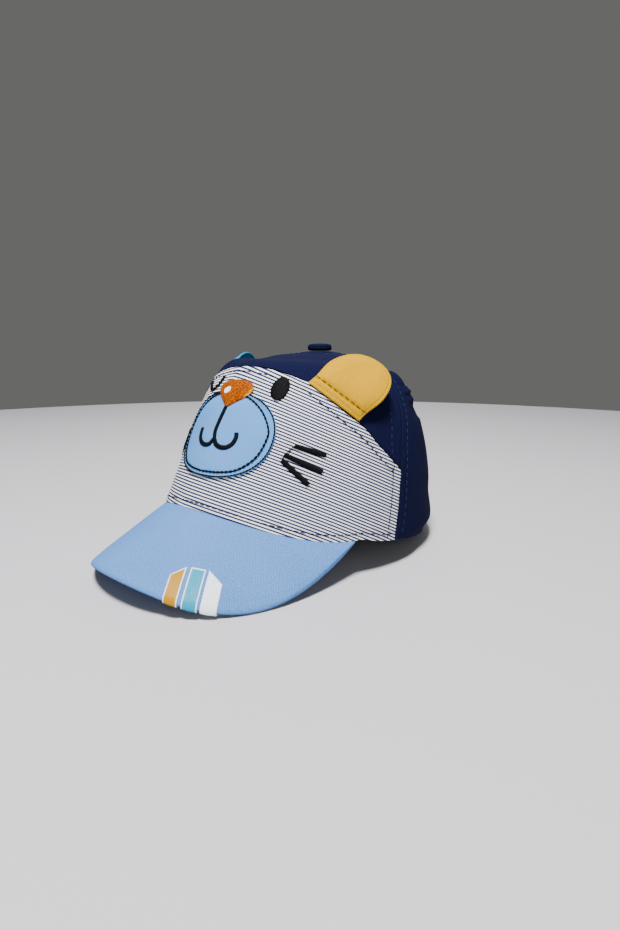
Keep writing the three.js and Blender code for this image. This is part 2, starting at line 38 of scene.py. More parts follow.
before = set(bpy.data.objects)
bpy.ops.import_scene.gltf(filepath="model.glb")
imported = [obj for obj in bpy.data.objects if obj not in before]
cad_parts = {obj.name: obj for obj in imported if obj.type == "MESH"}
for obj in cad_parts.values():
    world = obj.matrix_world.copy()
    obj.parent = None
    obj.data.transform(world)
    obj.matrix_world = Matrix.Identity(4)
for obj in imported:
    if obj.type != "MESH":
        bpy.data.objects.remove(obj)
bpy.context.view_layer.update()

# Shape of the cap, in millimetres from the middle of its rim, as in the solids
MM = 0.001
ORIGIN_SHIFT = 21.5
RIM_HALF_WIDTH = 73.0
RIM_HALF_LENGTH = 84.0
CROWN_HEIGHT = 106.3
APEX_BACK = 15.1
MERIDIAN_LENGTH = 138.2
APEX_OPENING = 2.5
SEAM_GAP = 0.3
SECTIONS = {"front": (7.45, 0.284), "side": (2.87, 0.12), "back": (2.37, 0.062)}
SECTION_BLEND = 1.5
BRIM_LEVEL = 69.6
BRIM_SLOPE = 0.44
BRIM_ARCH = 61.2
BRIM_CORNER = math.radians(64)
BRIM_LENGTH = 44.0
BRIM_HALF_WIDTH = 63.6
BRIM_ROUNDNESS = 0.6
BRIM_FLARE = 1.6
BRIM_TUCK = 1.5
RIM_SWEEP = 1.234
RIM_LEAVING = math.radians(10)
RIM_FLAT = 0.3

# Seams: rise is a share of the way up the cloth, angle is degrees from the front
SEAM_RISE = (0, 0.11, 0.27, 0.37, 0.5, 0.62, 0.78, 1)
SEAM_ANGLE = (82, 83.5, 85, 87.5, 93, 98, 101, 102)
TOP_ANGLE = (0, 17, 30, 40, 52, 63, 72, 86)
TOP_RISE = (0.578, 0.572, 0.554, 0.538, 0.48, 0.418, 0.352, 0.257)

# Soft rolls across the back: rise, spread and height, the last one a dent
BACK_ROLLS = (
    (0.648, 0.05, 2.13), (0.588, 0.018, 2.04), (0.554, 0.032, 1.1), (0.501, 0.039, -1.27),
)
ROLL_START = (100, 116)
ROLL_END = (190, 232)

# The soft top sinks behind the stiff front, and peaks a little under the button
PUFF = {"rise": 0.64, "spread": 0.09, "height": 1.7, "start": (20, 34), "end": (54, 76)}
TOP_DIP = {"rise": 0.73, "spread": 0.08, "height": -2.7, "fade": (75, 105)}
APEX_PEAK = {"spread": 0.085, "height": 1.4}

# Cloth of the front: millimetres for each degree, and the stripes' rise, droop and lean
DEGREE_WIDTH = 1.3
STRIPE_RISE = (0.719, -0.0002)
STRIPE_DROOP = (12.93, -0.968)
STRIPE_LEAN = (0.0494, -0.0608)

# Distances between threads, in millimetres
SATIN_PITCH = 0.42
COTTON_PITCH = 0.4
RIBBON_PITCH = 0.3
NOSE_PITCH = 0.55

# Arithmetic: a full turn, the rounds of three searches, and the small steps that give a slope
FULL_TURN = 2 * math.pi
TOP_STEPS = 8
WALK_STEPS = 40
HALVINGS = 24
SLOPE_STEPS = (0.01, 0.004)

# A place inside the crown, and the wearer's two sides
CROWN_INSIDE = (0, 0, 45)
SIDES = ((1, "left"), (-1, "right"))

# Camera: place in millimetres from the middle of the rim, aim in degrees, lens for 36 mm
CAMERA_PLACE = (207.98, -236.22, 107.86)
CAMERA_TURN = 40.625
CAMERA_DIP = 12.048
CAMERA_LENS = 20.70


class CapSizes(bpy.types.PropertyGroup):
    """Sizes of the cloth and the sewing."""

    wall: FloatProperty(
        name="Cloth Wall", description="Thickness of the crown's cloth",
        default=0.0013, min=0.0005, max=0.003, unit="LENGTH", subtype="DISTANCE",
    )
    stripe_pitch: FloatProperty(
        name="Stripe Pitch", description="Distance from one navy stripe to the next",
        default=0.00143, min=0.001, max=0.01, unit="LENGTH", subtype="DISTANCE",
    )
    twill_pitch: FloatProperty(
        name="Twill Pitch", description="Distance between the diagonal lines of the twill",
        default=0.0007, min=0.0004, max=0.002, unit="LENGTH", subtype="DISTANCE",
    )
    stitch_length: FloatProperty(
        name="Stitch Length", description="Length of one seam stitch that shows",
        default=0.0031, min=0.001, max=0.006, unit="LENGTH", subtype="DISTANCE",
    )
    thread_width: FloatProperty(
        name="Thread Width", description="Thickness of the sewing thread",
        default=0.0005, min=0.0002, max=0.001, unit="LENGTH", subtype="DISTANCE",
    )


def colour_property(name, description, value):
    return FloatVectorProperty(
        name=name, description=description, default=value, size=3, min=0, max=1, subtype="COLOR"
    )


class CapColours(bpy.types.PropertyGroup):
    """Colours of the cloths and threads, scene linear."""

    navy: colour_property("Navy", "Twill of the crown's top and back", (0.0032, 0.004, 0.019))
    white: colour_property("White", "Ground of the striped front", (0.93, 0.93, 0.95))
    stripe: colour_property("Stripe", "Fine lines of the striped front", (0.01, 0.013, 0.048))
    sky: colour_property("Sky", "Twill of the brim", (0.09, 0.215, 0.5))
    pale: colour_property("Pale Blue", "Cloth of the muzzle", (0.095, 0.265, 0.58))
    yellow: colour_property("Yellow", "Twill of the left ear", (0.53, 0.28, 0.0))
    teal: colour_property("Teal", "Twill of the right ear", (0.008, 0.19, 0.4))
    orange: colour_property("Orange", "Embroidery of the nose", (0.36, 0.075, 0.002))
    # Gold is a painted highlight: light caught along one side of the nose's stitches
    painted_gold_highlight: colour_property("Gold", "Turned edge of the nose's stitches", (0.66, 0.27, 0.006))
    black: colour_property("Black", "Embroidery of the eyes, mouth and whiskers", (0.002, 0.002, 0.003))
    pale_thread: colour_property("Pale Thread", "Top stitches of the navy cloth", (0.016, 0.021, 0.07))
    brown_thread: colour_property("Brown Thread", "Stitches of the left ear", (0.05, 0.018, 0.006))
    teal_thread: colour_property("Teal Thread", "Stitches of the right ear", (0.004, 0.02, 0.04))
    ribbon_yellow: colour_property("Yellow Ribbon", "Tab of yellow ribbon", (0.4, 0.19, 0.0))
    ribbon_teal: colour_property("Teal Ribbon", "Tab of teal ribbon", (0.004, 0.25, 0.4))
    ribbon_white: colour_property("White Ribbon", "Tab of white ribbon", (0.78, 0.82, 0.87))
    ribbon_border: colour_property("Ribbon Border", "Woven border of the tabs", (0.72, 0.77, 0.85))
    floor: colour_property("Floor", "Surface the cap stands on", (0.47, 0.465, 0.5))


def sizes():
    return bpy.context.scene.cap_sizes


def colours():
    return bpy.context.scene.cap_colours


# Arithmetic on arrays


def mix(low, high, share):
    return low + (high - low) * share


def smooth(value, low, high):
    share = np.clip((value - low) / (high - low), 0, 1)
    return share * share * (3 - 2 * share)


def bump_at(value, place, width):
    return np.exp(-(((value - place) / width) ** 2))


def ripple(x, y, length, phase):
    """Gentle uneven waves between -1 and 1, from five directions."""
    total = 0
    for k in range(5):
        turn = 2.4 * k + phase
        along = x * math.cos(turn) + y * math.sin(turn)
        total = total + np.sin(FULL_TURN * along / (length * (0.7 + 0.17 * k)) + 1.7 * k + phase)
    return total / 5


def unit(vectors):
    return vectors / np.maximum(np.linalg.norm(vectors, axis=-1, keepdims=True), 1e-12)


# Surface of the crown and brim


def brim_height(x, y):
    return BRIM_LEVEL + BRIM_SLOPE * y - x * x / (2 * BRIM_ARCH)


def rim_height(angle):
    away = np.arccos(np.clip(np.cos(angle), -1, 1))
    over = np.minimum(away, BRIM_CORNER)
    level = brim_height(RIM_HALF_WIDTH * np.sin(over), -RIM_HALF_LENGTH * np.cos(over)) + SEAM_GAP
    share = np.minimum(1, (np.cos(away) + 1) / (math.cos(BRIM_CORNER) + 1))
    sweep = np.maximum(0, level * share**RIM_SWEEP - RIM_FLAT)
    return mix(level, sweep, smooth(away, BRIM_CORNER, BRIM_CORNER + RIM_LEAVING))


def section_at(angle):
    """Fullness and lean of the crown's upright section in one direction."""
    front = np.maximum(np.cos(angle), 0) ** SECTION_BLEND
    back = np.maximum(-np.cos(angle), 0) ** SECTION_BLEND
    side = 1 - front - back
    rows = (SECTIONS["front"], SECTIONS["side"], SECTIONS["back"])
    return tuple(front * rows[0][k] + side * rows[1][k] + back * rows[2][k] for k in (0, 1))


def crown_at(angle, radius, height):
    reach = radius * (1 - section_at(angle)[1] * height)
    x = RIM_HALF_WIDTH * np.sin(angle) * reach
    y = -RIM_HALF_LENGTH * np.cos(angle) * reach + APEX_BACK * height
    z = mix(rim_height(angle), CROWN_HEIGHT, height)
    return np.stack(np.broadcast_arrays(x, y, z), axis=-1)


def crown_at_height(angle, height):
    fullness = section_at(angle)[0]
    return crown_at(angle, (1 - height**fullness) ** (1 / fullness), height)


TURNS = np.linspace(0, math.pi / 2, 91)


def meridian(angle):
    """Radius, height and length from the rim of the crown's section, for each direction."""
    fullness = section_at(angle)[0][..., None]
    scale = (np.cos(TURNS) ** fullness + np.sin(TURNS) ** fullness) ** (-1 / fullness)
    height = np.minimum(scale * np.sin(TURNS), 1)
    radius = np.maximum(scale * np.cos(TURNS), 0)
    points = crown_at(angle[..., None], radius, height)
    pieces = np.linalg.norm(np.diff(points, axis=-2), axis=-1)
    lengths = np.concatenate([np.zeros_like(pieces[..., :1]), np.cumsum(pieces, axis=-1)], axis=-1)
    return radius, height, lengths


def smooth_crown(angle, rise):
    """Points of the crown's outer face, and their shares of its height."""
    angle, rise = (np.array(value, float) for value in np.broadcast_arrays(angle, rise))
    radius, height, lengths = meridian(angle)
    target = (np.maximum(rise, 0) * lengths[..., -1])[..., None]
    after = np.clip((lengths < target).sum(-1, keepdims=True), 1, len(TURNS) - 1)

    def between(values):
        low = np.take_along_axis(values, after - 1, -1)
        return low, np.take_along_axis(values, after, -1)

    low, high = between(lengths)
    share = (target - low) / (high - low)
    reach = mix(*between(radius), share)[..., 0]
    level = mix(*between(height), share)[..., 0]
    return crown_at(angle, reach, level), level


def outward(surface, a, b):
    """Directions out of a surface whose points are given by two measures."""
    step_a, step_b = SLOPE_STEPS
    along = surface(a + step_a, b) - surface(a - step_a, b)
    up = surface(a, b + step_b) - surface(a, b - step_b)
    return unit(np.cross(along, up))


def crown_frame(angle, rise):
    """Points of the crown, their outward directions and their shares of its height."""
    points, level = smooth_crown(angle, rise)
    return points, outward(lambda a, b: smooth_crown(a, b)[0], angle, rise), level


def seam_angle(rise):
    return np.radians(np.interp(rise, SEAM_RISE, SEAM_ANGLE))


def front_top(share):
    """How far up the cloth the front panel ends, at a share of the way to the side seam."""
    rise = np.full_like(np.asarray(share, float), TOP_RISE[0])
    for _ in range(TOP_STEPS):
        angle = np.abs(share) * np.interp(rise, SEAM_RISE, SEAM_ANGLE)
        rise = np.interp(angle, TOP_ANGLE, TOP_RISE)
    return rise


def crown_relief(angle, rise):
    """How far the cloth stands off the smooth crown: rolls, dip, peak and the far side's puff."""
    degrees = np.degrees(angle)
    away = np.minimum(np.abs(degrees), 360 - degrees)
    dip = TOP_DIP["height"] * bump_at(rise, TOP_DIP["rise"], TOP_DIP["spread"])
    peak = APEX_PEAK["height"] * np.exp(-(((1 - rise) / APEX_PEAK["spread"]) ** 4))
    around = smooth(degrees, *ROLL_START) * (1 - smooth(degrees, *ROLL_END))
    out = 0
    for place, spread, height in BACK_ROLLS:
        out = out + height * np.sqrt(np.maximum(0, 1 - ((rise - place) / spread) ** 2))
    puffed = smooth(-degrees, *PUFF["start"]) * (1 - smooth(-degrees, *PUFF["end"]))
    puff = PUFF["height"] * bump_at(rise, PUFF["rise"], PUFF["spread"]) * puffed
    return out * around + dip * (1 - smooth(away, *TOP_DIP["fade"])) + peak + puff


FRONT_LINE = tuple(row[0] for row in meridian(np.zeros(1)))


def face_place(across, up):
    """Direction and height of a place measured along the front panel's cloth."""
    across, up = (np.array(value, float) for value in np.broadcast_arrays(across, up))
    height = np.interp(up, FRONT_LINE[2], FRONT_LINE[1])
    angle = np.zeros_like(across)
    turn = SLOPE_STEPS[0]
    for _ in range(WALK_STEPS):
        walk = crown_at_height(angle + turn, height) - crown_at_height(angle - turn, height)
        angle = angle + across / WALK_STEPS / (np.linalg.norm(walk, axis=-1) / (2 * turn))
    return angle, height


def stripe_place(angle, z):
    """Which stripe passes a place of the front: they droop to the sides, a little unevenly."""
    turn = (np.abs(np.degrees(angle) + 6) - 6) / 50
    rise = STRIPE_RISE[0] * z + STRIPE_RISE[1] * z * z
    droop = STRIPE_DROOP[0] * turn**2 + STRIPE_DROOP[1] * turn**4
    return rise + droop + (STRIPE_LEAN[0] * turn + STRIPE_LEAN[1] * turn**2) * z


def front_relief(angle, height):
    """Slow unevenness of the front panel, in millimetres."""
    return 0.22 * ripple(np.degrees(angle) * DEGREE_WIDTH, height * 100, 46, 0.8)


def face_point(across, up, lift):
    """Points over the front panel, and the directions out of it."""
    angle, height = face_place(across, up)
    out = outward(crown_at_height, angle, height)
    lift = np.asarray(lift) + front_relief(angle, height)
    return crown_at_height(angle, height) + out * lift[..., None], out


def brim_point(across, out):
    """Points of the brim's upper face: across is -1 to 1 along it, out is 0 at the crown."""
    inner = BRIM_CORNER * across
    inset = BRIM_TUCK * (1 - np.abs(across) ** 8)
    inner_x = (RIM_HALF_WIDTH - inset) * np.sin(inner)
    inner_y = -(RIM_HALF_LENGTH - inset) * np.cos(inner)
    corner_x = RIM_HALF_WIDTH * math.sin(BRIM_CORNER)
    corner_y = -RIM_HALF_LENGTH * math.cos(BRIM_CORNER)
    cosine = np.maximum(np.cos(math.pi / 2 * across), 0)
    flare = (BRIM_HALF_WIDTH - corner_x) * BRIM_FLARE * np.sqrt(cosine)
    outer_x = np.sin(math.pi / 2 * across) * (corner_x + flare)
    outer_y = mix(corner_y, -RIM_HALF_LENGTH - BRIM_LENGTH, cosine**BRIM_ROUNDNESS)
    x = mix(inner_x, outer_x, out)
    y = mix(inner_y, outer_y, out)
    return np.stack([x, y, brim_height(x, y)], axis=-1)


def to_part(points):
    """Millimetres from the middle of the rim, as metres in the part's own frame."""
    return (np.asarray(points) + (0, ORIGIN_SHIFT, 0)) * MM


# Mesh tools

SHEET_SMOOTHING = 60
BALL_SMOOTHING = 75
THREAD_SMOOTHING = 70
BEVEL_ANGLE = math.radians(40)


def start_piece():
    if bpy.context.mode != "OBJECT":
        bpy.ops.object.mode_set(mode="OBJECT")
    bpy.ops.object.select_all(action="DESELECT")


def pick(piece):
    """Makes one piece the only selected one and the active one."""
    start_piece()
    piece.select_set(True)
    bpy.context.view_layer.objects.active = piece


def named(name):
    """The primitive that was just added, under the piece's name."""
    piece = bpy.context.active_object
    piece.name = piece.data.name = name
    return piece


def read_points(piece):
    flat = np.empty(len(piece.data.vertices) * 3)
    piece.data.vertices.foreach_get("co", flat)
    return flat.reshape(-1, 3)


def new_grid(name, columns, rows):
    """A flat grid primitive, and the places of its points from 0 to 1 across and up."""
    start_piece()
    bpy.ops.mesh.primitive_grid_add(x_subdivisions=columns, y_subdivisions=rows, size=1)
    piece = named(name)
    x, y, _ = read_points(piece).T
    return piece, x + 0.5, y + 0.5


def new_ball(name, segments, rings):
    """A ball primitive, and each point's angle, distance from the axis and height."""
    start_piece()
    bpy.ops.mesh.primitive_uv_sphere_add(segments=segments, ring_count=rings, radius=1)
    piece = named(name)
    x, y, z = read_points(piece).T
    return piece, np.arctan2(y, x), np.hypot(x, y), z


def new_disc(name, spokes, rings):
    """A disc of rings made by extruding a circle inwards, with each point's angle and radius."""
    start_piece()
    bpy.ops.mesh.primitive_circle_add(vertices=spokes, radius=1, fill_type="NOTHING")
    piece = named(name)
    bpy.ops.object.mode_set(mode="EDIT")
    bpy.ops.mesh.select_all(action="SELECT")
    for ring in range(rings - 1, 0, -1):
        bpy.ops.mesh.extrude_region_move()
        bpy.ops.transform.resize(value=(ring / (ring + 1), ring / (ring + 1), 1))
    bpy.ops.mesh.extrude_region_move()
    bpy.ops.mesh.merge(type="CENTER")
    bpy.ops.mesh.select_all(action="SELECT")
    bpy.ops.mesh.normals_make_consistent(inside=False)
    bpy.ops.object.mode_set(mode="OBJECT")
    x, y, _ = read_points(piece).T
    return piece, np.arctan2(y, x), np.hypot(x, y)


def place_points(piece, points, along, up):
    """Puts the points in place, and writes where they lie on the cloth as the UV map."""
    piece.data.vertices.foreach_set("co", to_part(points).ravel())
    piece.data.update()
    cloth_map(piece, along, up)


def cloth_map(piece, along, up):
    layer = piece.data.uv_layers.active or piece.data.uv_layers.new()
    layer.name = "Cloth"
    corners = np.empty(len(piece.data.loops), int)
    piece.data.loops.foreach_get("vertex_index", corners)
    values = np.stack(np.broadcast_arrays(along, up), axis=-1)[corners]
    layer.data.foreach_set("uv", values.astype(float).ravel())


def face_out(piece, inside):
    """Turns the faces so that they look away from a point, given in millimetres."""
    centre = Vector(to_part(inside))
    votes = sum(1 if (p.center - centre).dot(p.normal) > 0 else -1 for p in piece.data.polygons)
    if votes < 0:
        piece.data.flip_normals()


def apply_modifier(piece, kind, **values):
    pick(piece)
    modifier = piece.modifiers.new(kind.title(), kind)
    for key, value in values.items():
        setattr(modifier, key, value)
    bpy.ops.object.modifier_apply(modifier=modifier.name)


def shade_round(piece, degrees=SHEET_SMOOTHING):
    pick(piece)
    bpy.ops.object.shade_smooth_by_angle(angle=math.radians(degrees))


def lay_sheet(piece, points, cloth, wall, bevel=0.0, inside=CROWN_INSIDE, even=True):
    """Lays a face out as cloth, as a closed wall that grows inwards, with rounded edges if wanted."""
    place_points(piece, points, *cloth)
    face_out(piece, inside)
    apply_modifier(piece, "SOLIDIFY", thickness=wall, offset=-1, use_even_offset=even)
    if bevel:
        apply_modifier(
            piece, "BEVEL", width=bevel, segments=2, limit_method="ANGLE",
            angle_limit=BEVEL_ANGLE, use_clamp_overlap=True,
        )
    shade_round(piece)


def finish_piece(piece, material, slot, *nodes):
    """Dresses a piece, hangs it under the root body and hides the solids it stands for, if any are
    named; the slot is not used.
    """
    piece.data.materials.clear()
    piece.data.materials.append(material)
    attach(piece, "root")
    if nodes:
        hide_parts(*nodes)


# Materials


def rgba(colour, factor=1.0):
    return tuple(min(1.0, channel * factor) for channel in colour) + (1.0,)


class Nodes:
    """Short ways to add and join nodes in one tree."""

    def __init__(self, tree):
        self.tree = tree
        self.shader = tree.nodes.get("Principled BSDF")

    def add(self, kind, **settings):
        node = self.tree.nodes.new("ShaderNode" + kind)
        for key, value in settings.items():
            setattr(node, key, value)
        return node

    def join(self, value, socket):
        if isinstance(value, bpy.types.NodeSocket):
            self.tree.links.new(value, socket)
        else:
            socket.default_value = value

    def group(self, tree, **values):
        node = self.add("Group", node_tree=tree)
        for key, value in values.items():
            self.join(value, node.inputs[key])
        return node.outputs

    def math(self, operation, first, second=0.0):
        node = self.add("Math", operation=operation)
        self.join(first, node.inputs[0])
        self.join(second, node.inputs[1])
        return node.outputs[0]

    def sum(self, first, second):
        return self.math("ADD", first, second)

    def times(self, first, second):
        return self.math("MULTIPLY", first, second)

    def wave(self, place, turns):
        return self.math("SINE", self.times(place, turns))

    def split(self, vector):
        apart = self.add("SeparateXYZ")
        self.join(vector, apart.inputs[0])
        return apart.outputs[0], apart.outputs[1]

    def scaled(self, vector, size):
        node = self.add("VectorMath", operation="MULTIPLY")
        self.join(vector, node.inputs[0])
        self.join(size, node.inputs[1])
        return node.outputs[0]

    def noise(self, vector, scale, detail=2.0):
        node = self.add("TexNoise")
        self.join(vector, node.inputs["Vector"])
        self.join(scale, node.inputs["Scale"])
        self.join(detail, node.inputs["Detail"])
        return node.outputs["Fac"]

    def ramp(self, value, low, high, to_low=0.0, to_high=1.0):
        node = self.add("MapRange", clamp=True)
        for socket, number in zip(node.inputs, (value, low, high, to_low, to_high)):
            self.join(number, socket)
        return node.outputs[0]

    def blend(self, share, first, second, kind="MIX"):
        node = self.add("Mix", data_type="RGBA", blend_type=kind)
        colour_inputs = [s for s in node.inputs if s.type == "RGBA"]
        self.join(share, node.inputs[0])
        self.join(first, colour_inputs[0])
        self.join(second, colour_inputs[1])
        return next(s for s in node.outputs if s.type == "RGBA")

    def tint(self, share, colour, low, high):
        """One colour, darker or lighter by two factors."""
        return self.blend(share, rgba(colour, low), rgba(colour, high))

    def faded(self, base, share, tone):
        """A base colour, multiplied by a tone where the share is low."""
        return self.blend(1.0, base, self.blend(share, rgba(tone), rgba((1, 1, 1))), "MULTIPLY")

    def dress(self, base, height, depth_mm, roughness=None):
        """Joins a cloth's colour, relief and uneven roughness to the shader."""
        self.join(base, self.shader.inputs["Base Color"])
        if roughness is not None:
            self.join(roughness, self.shader.inputs["Roughness"])
        bump = self.add("Bump")
        bump.inputs["Strength"].default_value = 1.0
        bump.inputs["Distance"].default_value = depth_mm * MM
        self.join(height, bump.inputs["Height"])
        self.join(bump.outputs[0], self.shader.inputs["Normal"])


def effect_group(name, inputs, outputs, build):
    """A node group that is built once and used by several materials."""
    tree = bpy.data.node_groups.get(name)
    if tree:
        return tree
    tree = bpy.data.node_groups.new(name, "ShaderNodeTree")
    for label in inputs:
        kind = "NodeSocketVector" if label == "Cloth" else "NodeSocketFloat"
        tree.interface.new_socket(name=label, in_out="INPUT", socket_type=kind)
    for label in outputs:
        tree.interface.new_socket(name=label, in_out="OUTPUT", socket_type="NodeSocketFloat")
    source = tree.nodes.new("NodeGroupInput")
    sink = tree.nodes.new("NodeGroupOutput")
    nodes = Nodes(tree)
    for value, socket in zip(build(nodes, source.outputs), sink.inputs):
        nodes.join(value, socket)
    return tree


def twill_group():
    """Diagonal ribs crossed by finer threads: puts out a height and a shade."""

    def build(nodes, given):
        cloth = given["Cloth"]
        x, y = nodes.split(cloth)
        wander = nodes.times(nodes.noise(cloth, 0.35), 0.9)
        turns = nodes.math("DIVIDE", FULL_TURN / math.sqrt(2), given["Pitch"])
        rib = nodes.wave(nodes.sum(nodes.sum(x, y), wander), turns)
        cross = nodes.wave(nodes.times(nodes.math("SUBTRACT", x, y), turns), 1.9)
        slub = nodes.noise(nodes.scaled(cloth, (0.25, 2.2, 1)), 1.6)
        height = nodes.sum(nodes.times(rib, 0.34), nodes.times(cross, 0.16))
        height = nodes.sum(height, nodes.times(slub, 0.5))
        return height, nodes.ramp(height, -0.35, 0.75)

    return effect_group("Twill Weave", ("Cloth", "Pitch"), ("Height", "Shade"), build)


def lint_group():
    """Uneven dye and lint: puts out a slow mask and a fine mask."""

    def build(nodes, given):
        slow = nodes.ramp(nodes.noise(given["Cloth"], 0.045, 3.0), 0.3, 0.7)
        fine = nodes.ramp(nodes.noise(given["Cloth"], 1.7), 0.42, 0.72)
        return slow, fine

    return effect_group("Dye And Lint", ("Cloth",), ("Slow", "Fine"), build)


def thread_group():
    """Satin threads side by side along the piece: puts out a height and a shade."""

    def build(nodes, given):
        cloth = given["Cloth"]
        wander = nodes.times(nodes.noise(cloth, 0.9), 0.5)
        turns = nodes.math("DIVIDE", FULL_TURN, given["Pitch"])
        thread = nodes.wave(nodes.sum(nodes.split(cloth)[1], wander), turns)
        fibre = nodes.noise(nodes.scaled(cloth, (0.6, 7.0, 1)), 1.5)
        height = nodes.sum(nodes.times(thread, 0.4), fibre)
        return height, nodes.ramp(height, -0.1, 1.1)

    return effect_group("Satin Threads", ("Cloth", "Pitch"), ("Height", "Shade"), build)


def new_material(name, roughness, gloss):
    """A new material, and its nodes with their shader."""
    material = bpy.data.materials.new(name)
    material.use_nodes = True
    nodes = Nodes(material.node_tree)
    nodes.shader.inputs["Roughness"].default_value = roughness
    nodes.shader.inputs["Specular IOR Level"].default_value = gloss
    return material, nodes


def cloth_material(name, roughness, gloss=0.03):
    """A new material, its nodes and its place on the cloth."""
    material, nodes = new_material(name, roughness, gloss)
    return material, nodes, nodes.add("UVMap", uv_map="Cloth").outputs[0]


def twill_material(name, colour, shadow=0.72, light=1.18, depth=0.09, specks=0.22, pale=1.7):
    """Cotton twill: ribs with painted shade in their grooves and painted light on their crests, paler
    threads on top and slightly uneven dye.
    """
    if name in bpy.data.materials:
        return bpy.data.materials[name]
    material, nodes, cloth = cloth_material(name, 0.88)
    twill = nodes.group(twill_group(), Cloth=cloth, Pitch=sizes().twill_pitch / MM)
    lint = nodes.group(lint_group(), Cloth=cloth)
    # Partly uneven yarn, partly painted shade and light: darker by the shadow factor where the weave
    # dips, lighter by the light factor on its crests
    base = nodes.tint(twill["Shade"], colour, shadow, light)
    base = nodes.faded(base, lint["Slow"], (0.9, 0.9, 0.92))
    base = nodes.blend(nodes.times(lint["Fine"], specks), base, rgba(colour, pale))
    nodes.dress(base, twill["Height"], depth, nodes.ramp(twill["Shade"], 0, 1, 0.95, 0.8))
    return material


def navy_material():
    return twill_material("Navy Twill", colours().navy, 0.5, 1.4, specks=0.45, pale=4.5)


def striped_material():
    """White cotton with fine woven navy stripes that run round the front."""
    material, nodes, cloth = cloth_material("Striped Cotton", 0.9)
    x, y = nodes.split(cloth)
    wander = nodes.times(nodes.noise(nodes.scaled(cloth, (0.3, 1, 1)), 0.7), 0.08)
    passed = nodes.math("DIVIDE", nodes.sum(y, wander), sizes().stripe_pitch / MM / 2)
    line = nodes.ramp(nodes.math("PINGPONG", passed, 1.0), 0.42, 0.72, 1.0, 0.0)
    lint = nodes.group(lint_group(), Cloth=cloth)
    weave = nodes.noise(nodes.scaled(cloth, (1.0, 4.0, 1)), 2.2)
    white = nodes.tint(weave, colours().white, 0.93, 1.06)
    navy = nodes.tint(nodes.ramp(weave, 0.3, 0.75), colours().stripe, 1.0, 1.8)
    base = nodes.faded(nodes.blend(line, white, navy), lint["Slow"], (0.93, 0.93, 0.95))
    turns = FULL_TURN / COTTON_PITCH
    plain = nodes.times(nodes.wave(x, turns), nodes.wave(y, turns))
    nodes.dress(base, nodes.sum(nodes.times(plain, 0.4), nodes.times(line, 0.4)), 0.05)
    return material


def satin_material(name, colour, pitch=SATIN_PITCH, depth=0.08):
    """Embroidery thread: glossy threads side by side, with uneven fibres and with painted shade where
    the threads dip and painted light on their tops.
    """
    if name in bpy.data.materials:
        return bpy.data.materials[name]
    material, nodes, cloth = cloth_material(name, 0.6, 0.08)
    thread = nodes.group(thread_group(), Cloth=cloth, Pitch=pitch)
    # Partly uneven fibre, partly painted shade and light: each thread darker where it dips and lighter
    # on its top
    base = nodes.tint(thread["Shade"], colour, 0.55, 1.5)
    nodes.dress(base, thread["Height"], depth, nodes.ramp(thread["Shade"], 0, 1, 0.75, 0.5))
    return material


def black_material():
    return satin_material("Black Thread", colours().black)


def thread_material(name, colour):
    return satin_material(name, colour, 0.5, 0.03)


def nose_material():
    """Short level stitches of light and dark orange, with a painted golden highlight along the wearer's
    left side.
    """
    material, nodes, cloth = cloth_material("Orange Thread", 0.6)
    x, y = nodes.split(cloth)
    short = nodes.noise(nodes.scaled(cloth, (0.7, 2.1, 1)), 1.1, 1.0)
    base = nodes.tint(nodes.ramp(short, 0.38, 0.62), colours().orange, 0.3, 1.2)
    # Painted highlight: a golden band along the nose's lower edge on the wearer's left, where the light
    # falls
    side = nodes.sum(x, nodes.times(y, -0.45))
    wander = nodes.times(nodes.noise(cloth, 0.8), 3.0)
    turned = nodes.ramp(nodes.sum(side, wander), -15.4, -14.0)
    base = nodes.blend(turned, base, rgba(colours().painted_gold_highlight))
    height = nodes.sum(nodes.wave(y, FULL_TURN / NOSE_PITCH), nodes.times(short, 2.0))
    nodes.dress(base, height, 0.06, nodes.ramp(short, 0.3, 0.7, 0.65, 0.4))
    return material


def ribbon_material(name, colour, width):
    """Shiny woven ribbon with a thin pale border all round."""
    material, nodes, cloth = cloth_material(name, 0.4, 0.15)
    x, y = nodes.split(cloth)
    weave = nodes.wave(x, FULL_TURN / RIBBON_PITCH)
    fibre = nodes.noise(nodes.scaled(cloth, (3.0, 0.4, 1)), 1.0)
    shade = nodes.ramp(nodes.sum(nodes.times(weave, 0.2), fibre), 0.1, 0.9)
    side = nodes.math("MINIMUM", x, nodes.math("SUBTRACT", width, x))
    rim = nodes.ramp(nodes.math("MINIMUM", side, y), 0.45, 0.62, 1.0, 0.0)
    base = nodes.blend(rim, nodes.tint(shade, colour, 0.82, 1.15), rgba(colours().ribbon_border))
    height = nodes.sum(shade, nodes.times(rim, 0.8))
    nodes.dress(base, height, 0.05, nodes.ramp(shade, 0, 1, 0.45, 0.3))
    return material


# Crown: how far each row of stitches lies from its seam, and the seams' own measures

TOP_STITCH = 4.5
SIDE_STITCH = 6.0
RIM_STITCH = 3.2
REAR_STITCH = 6.0
PUCKER_LENGTH = 4.8
HEM_CURL = 3.6
TOP_SLOPE = ((0, 20, 40, 70), (1, 0.97, 0.88, 0.82))
TOP_GAP = 0.6 * SEAM_GAP / MERIDIAN_LENGTH
APEX_RISE = 1 - APEX_OPENING / MERIDIAN_LENGTH
SIDE_RISE = np.linspace(0, 1, 60)
SIDE_REACH = smooth_crown(math.pi / 2, SIDE_RISE)[0][:, 0] / RIM_HALF_WIDTH


def side_speed(rise):
    """Millimetres of cloth for each radian round the crown, near the side seam."""
    return RIM_HALF_LENGTH * np.maximum(np.interp(rise, SIDE_RISE, SIDE_REACH), 0.02)


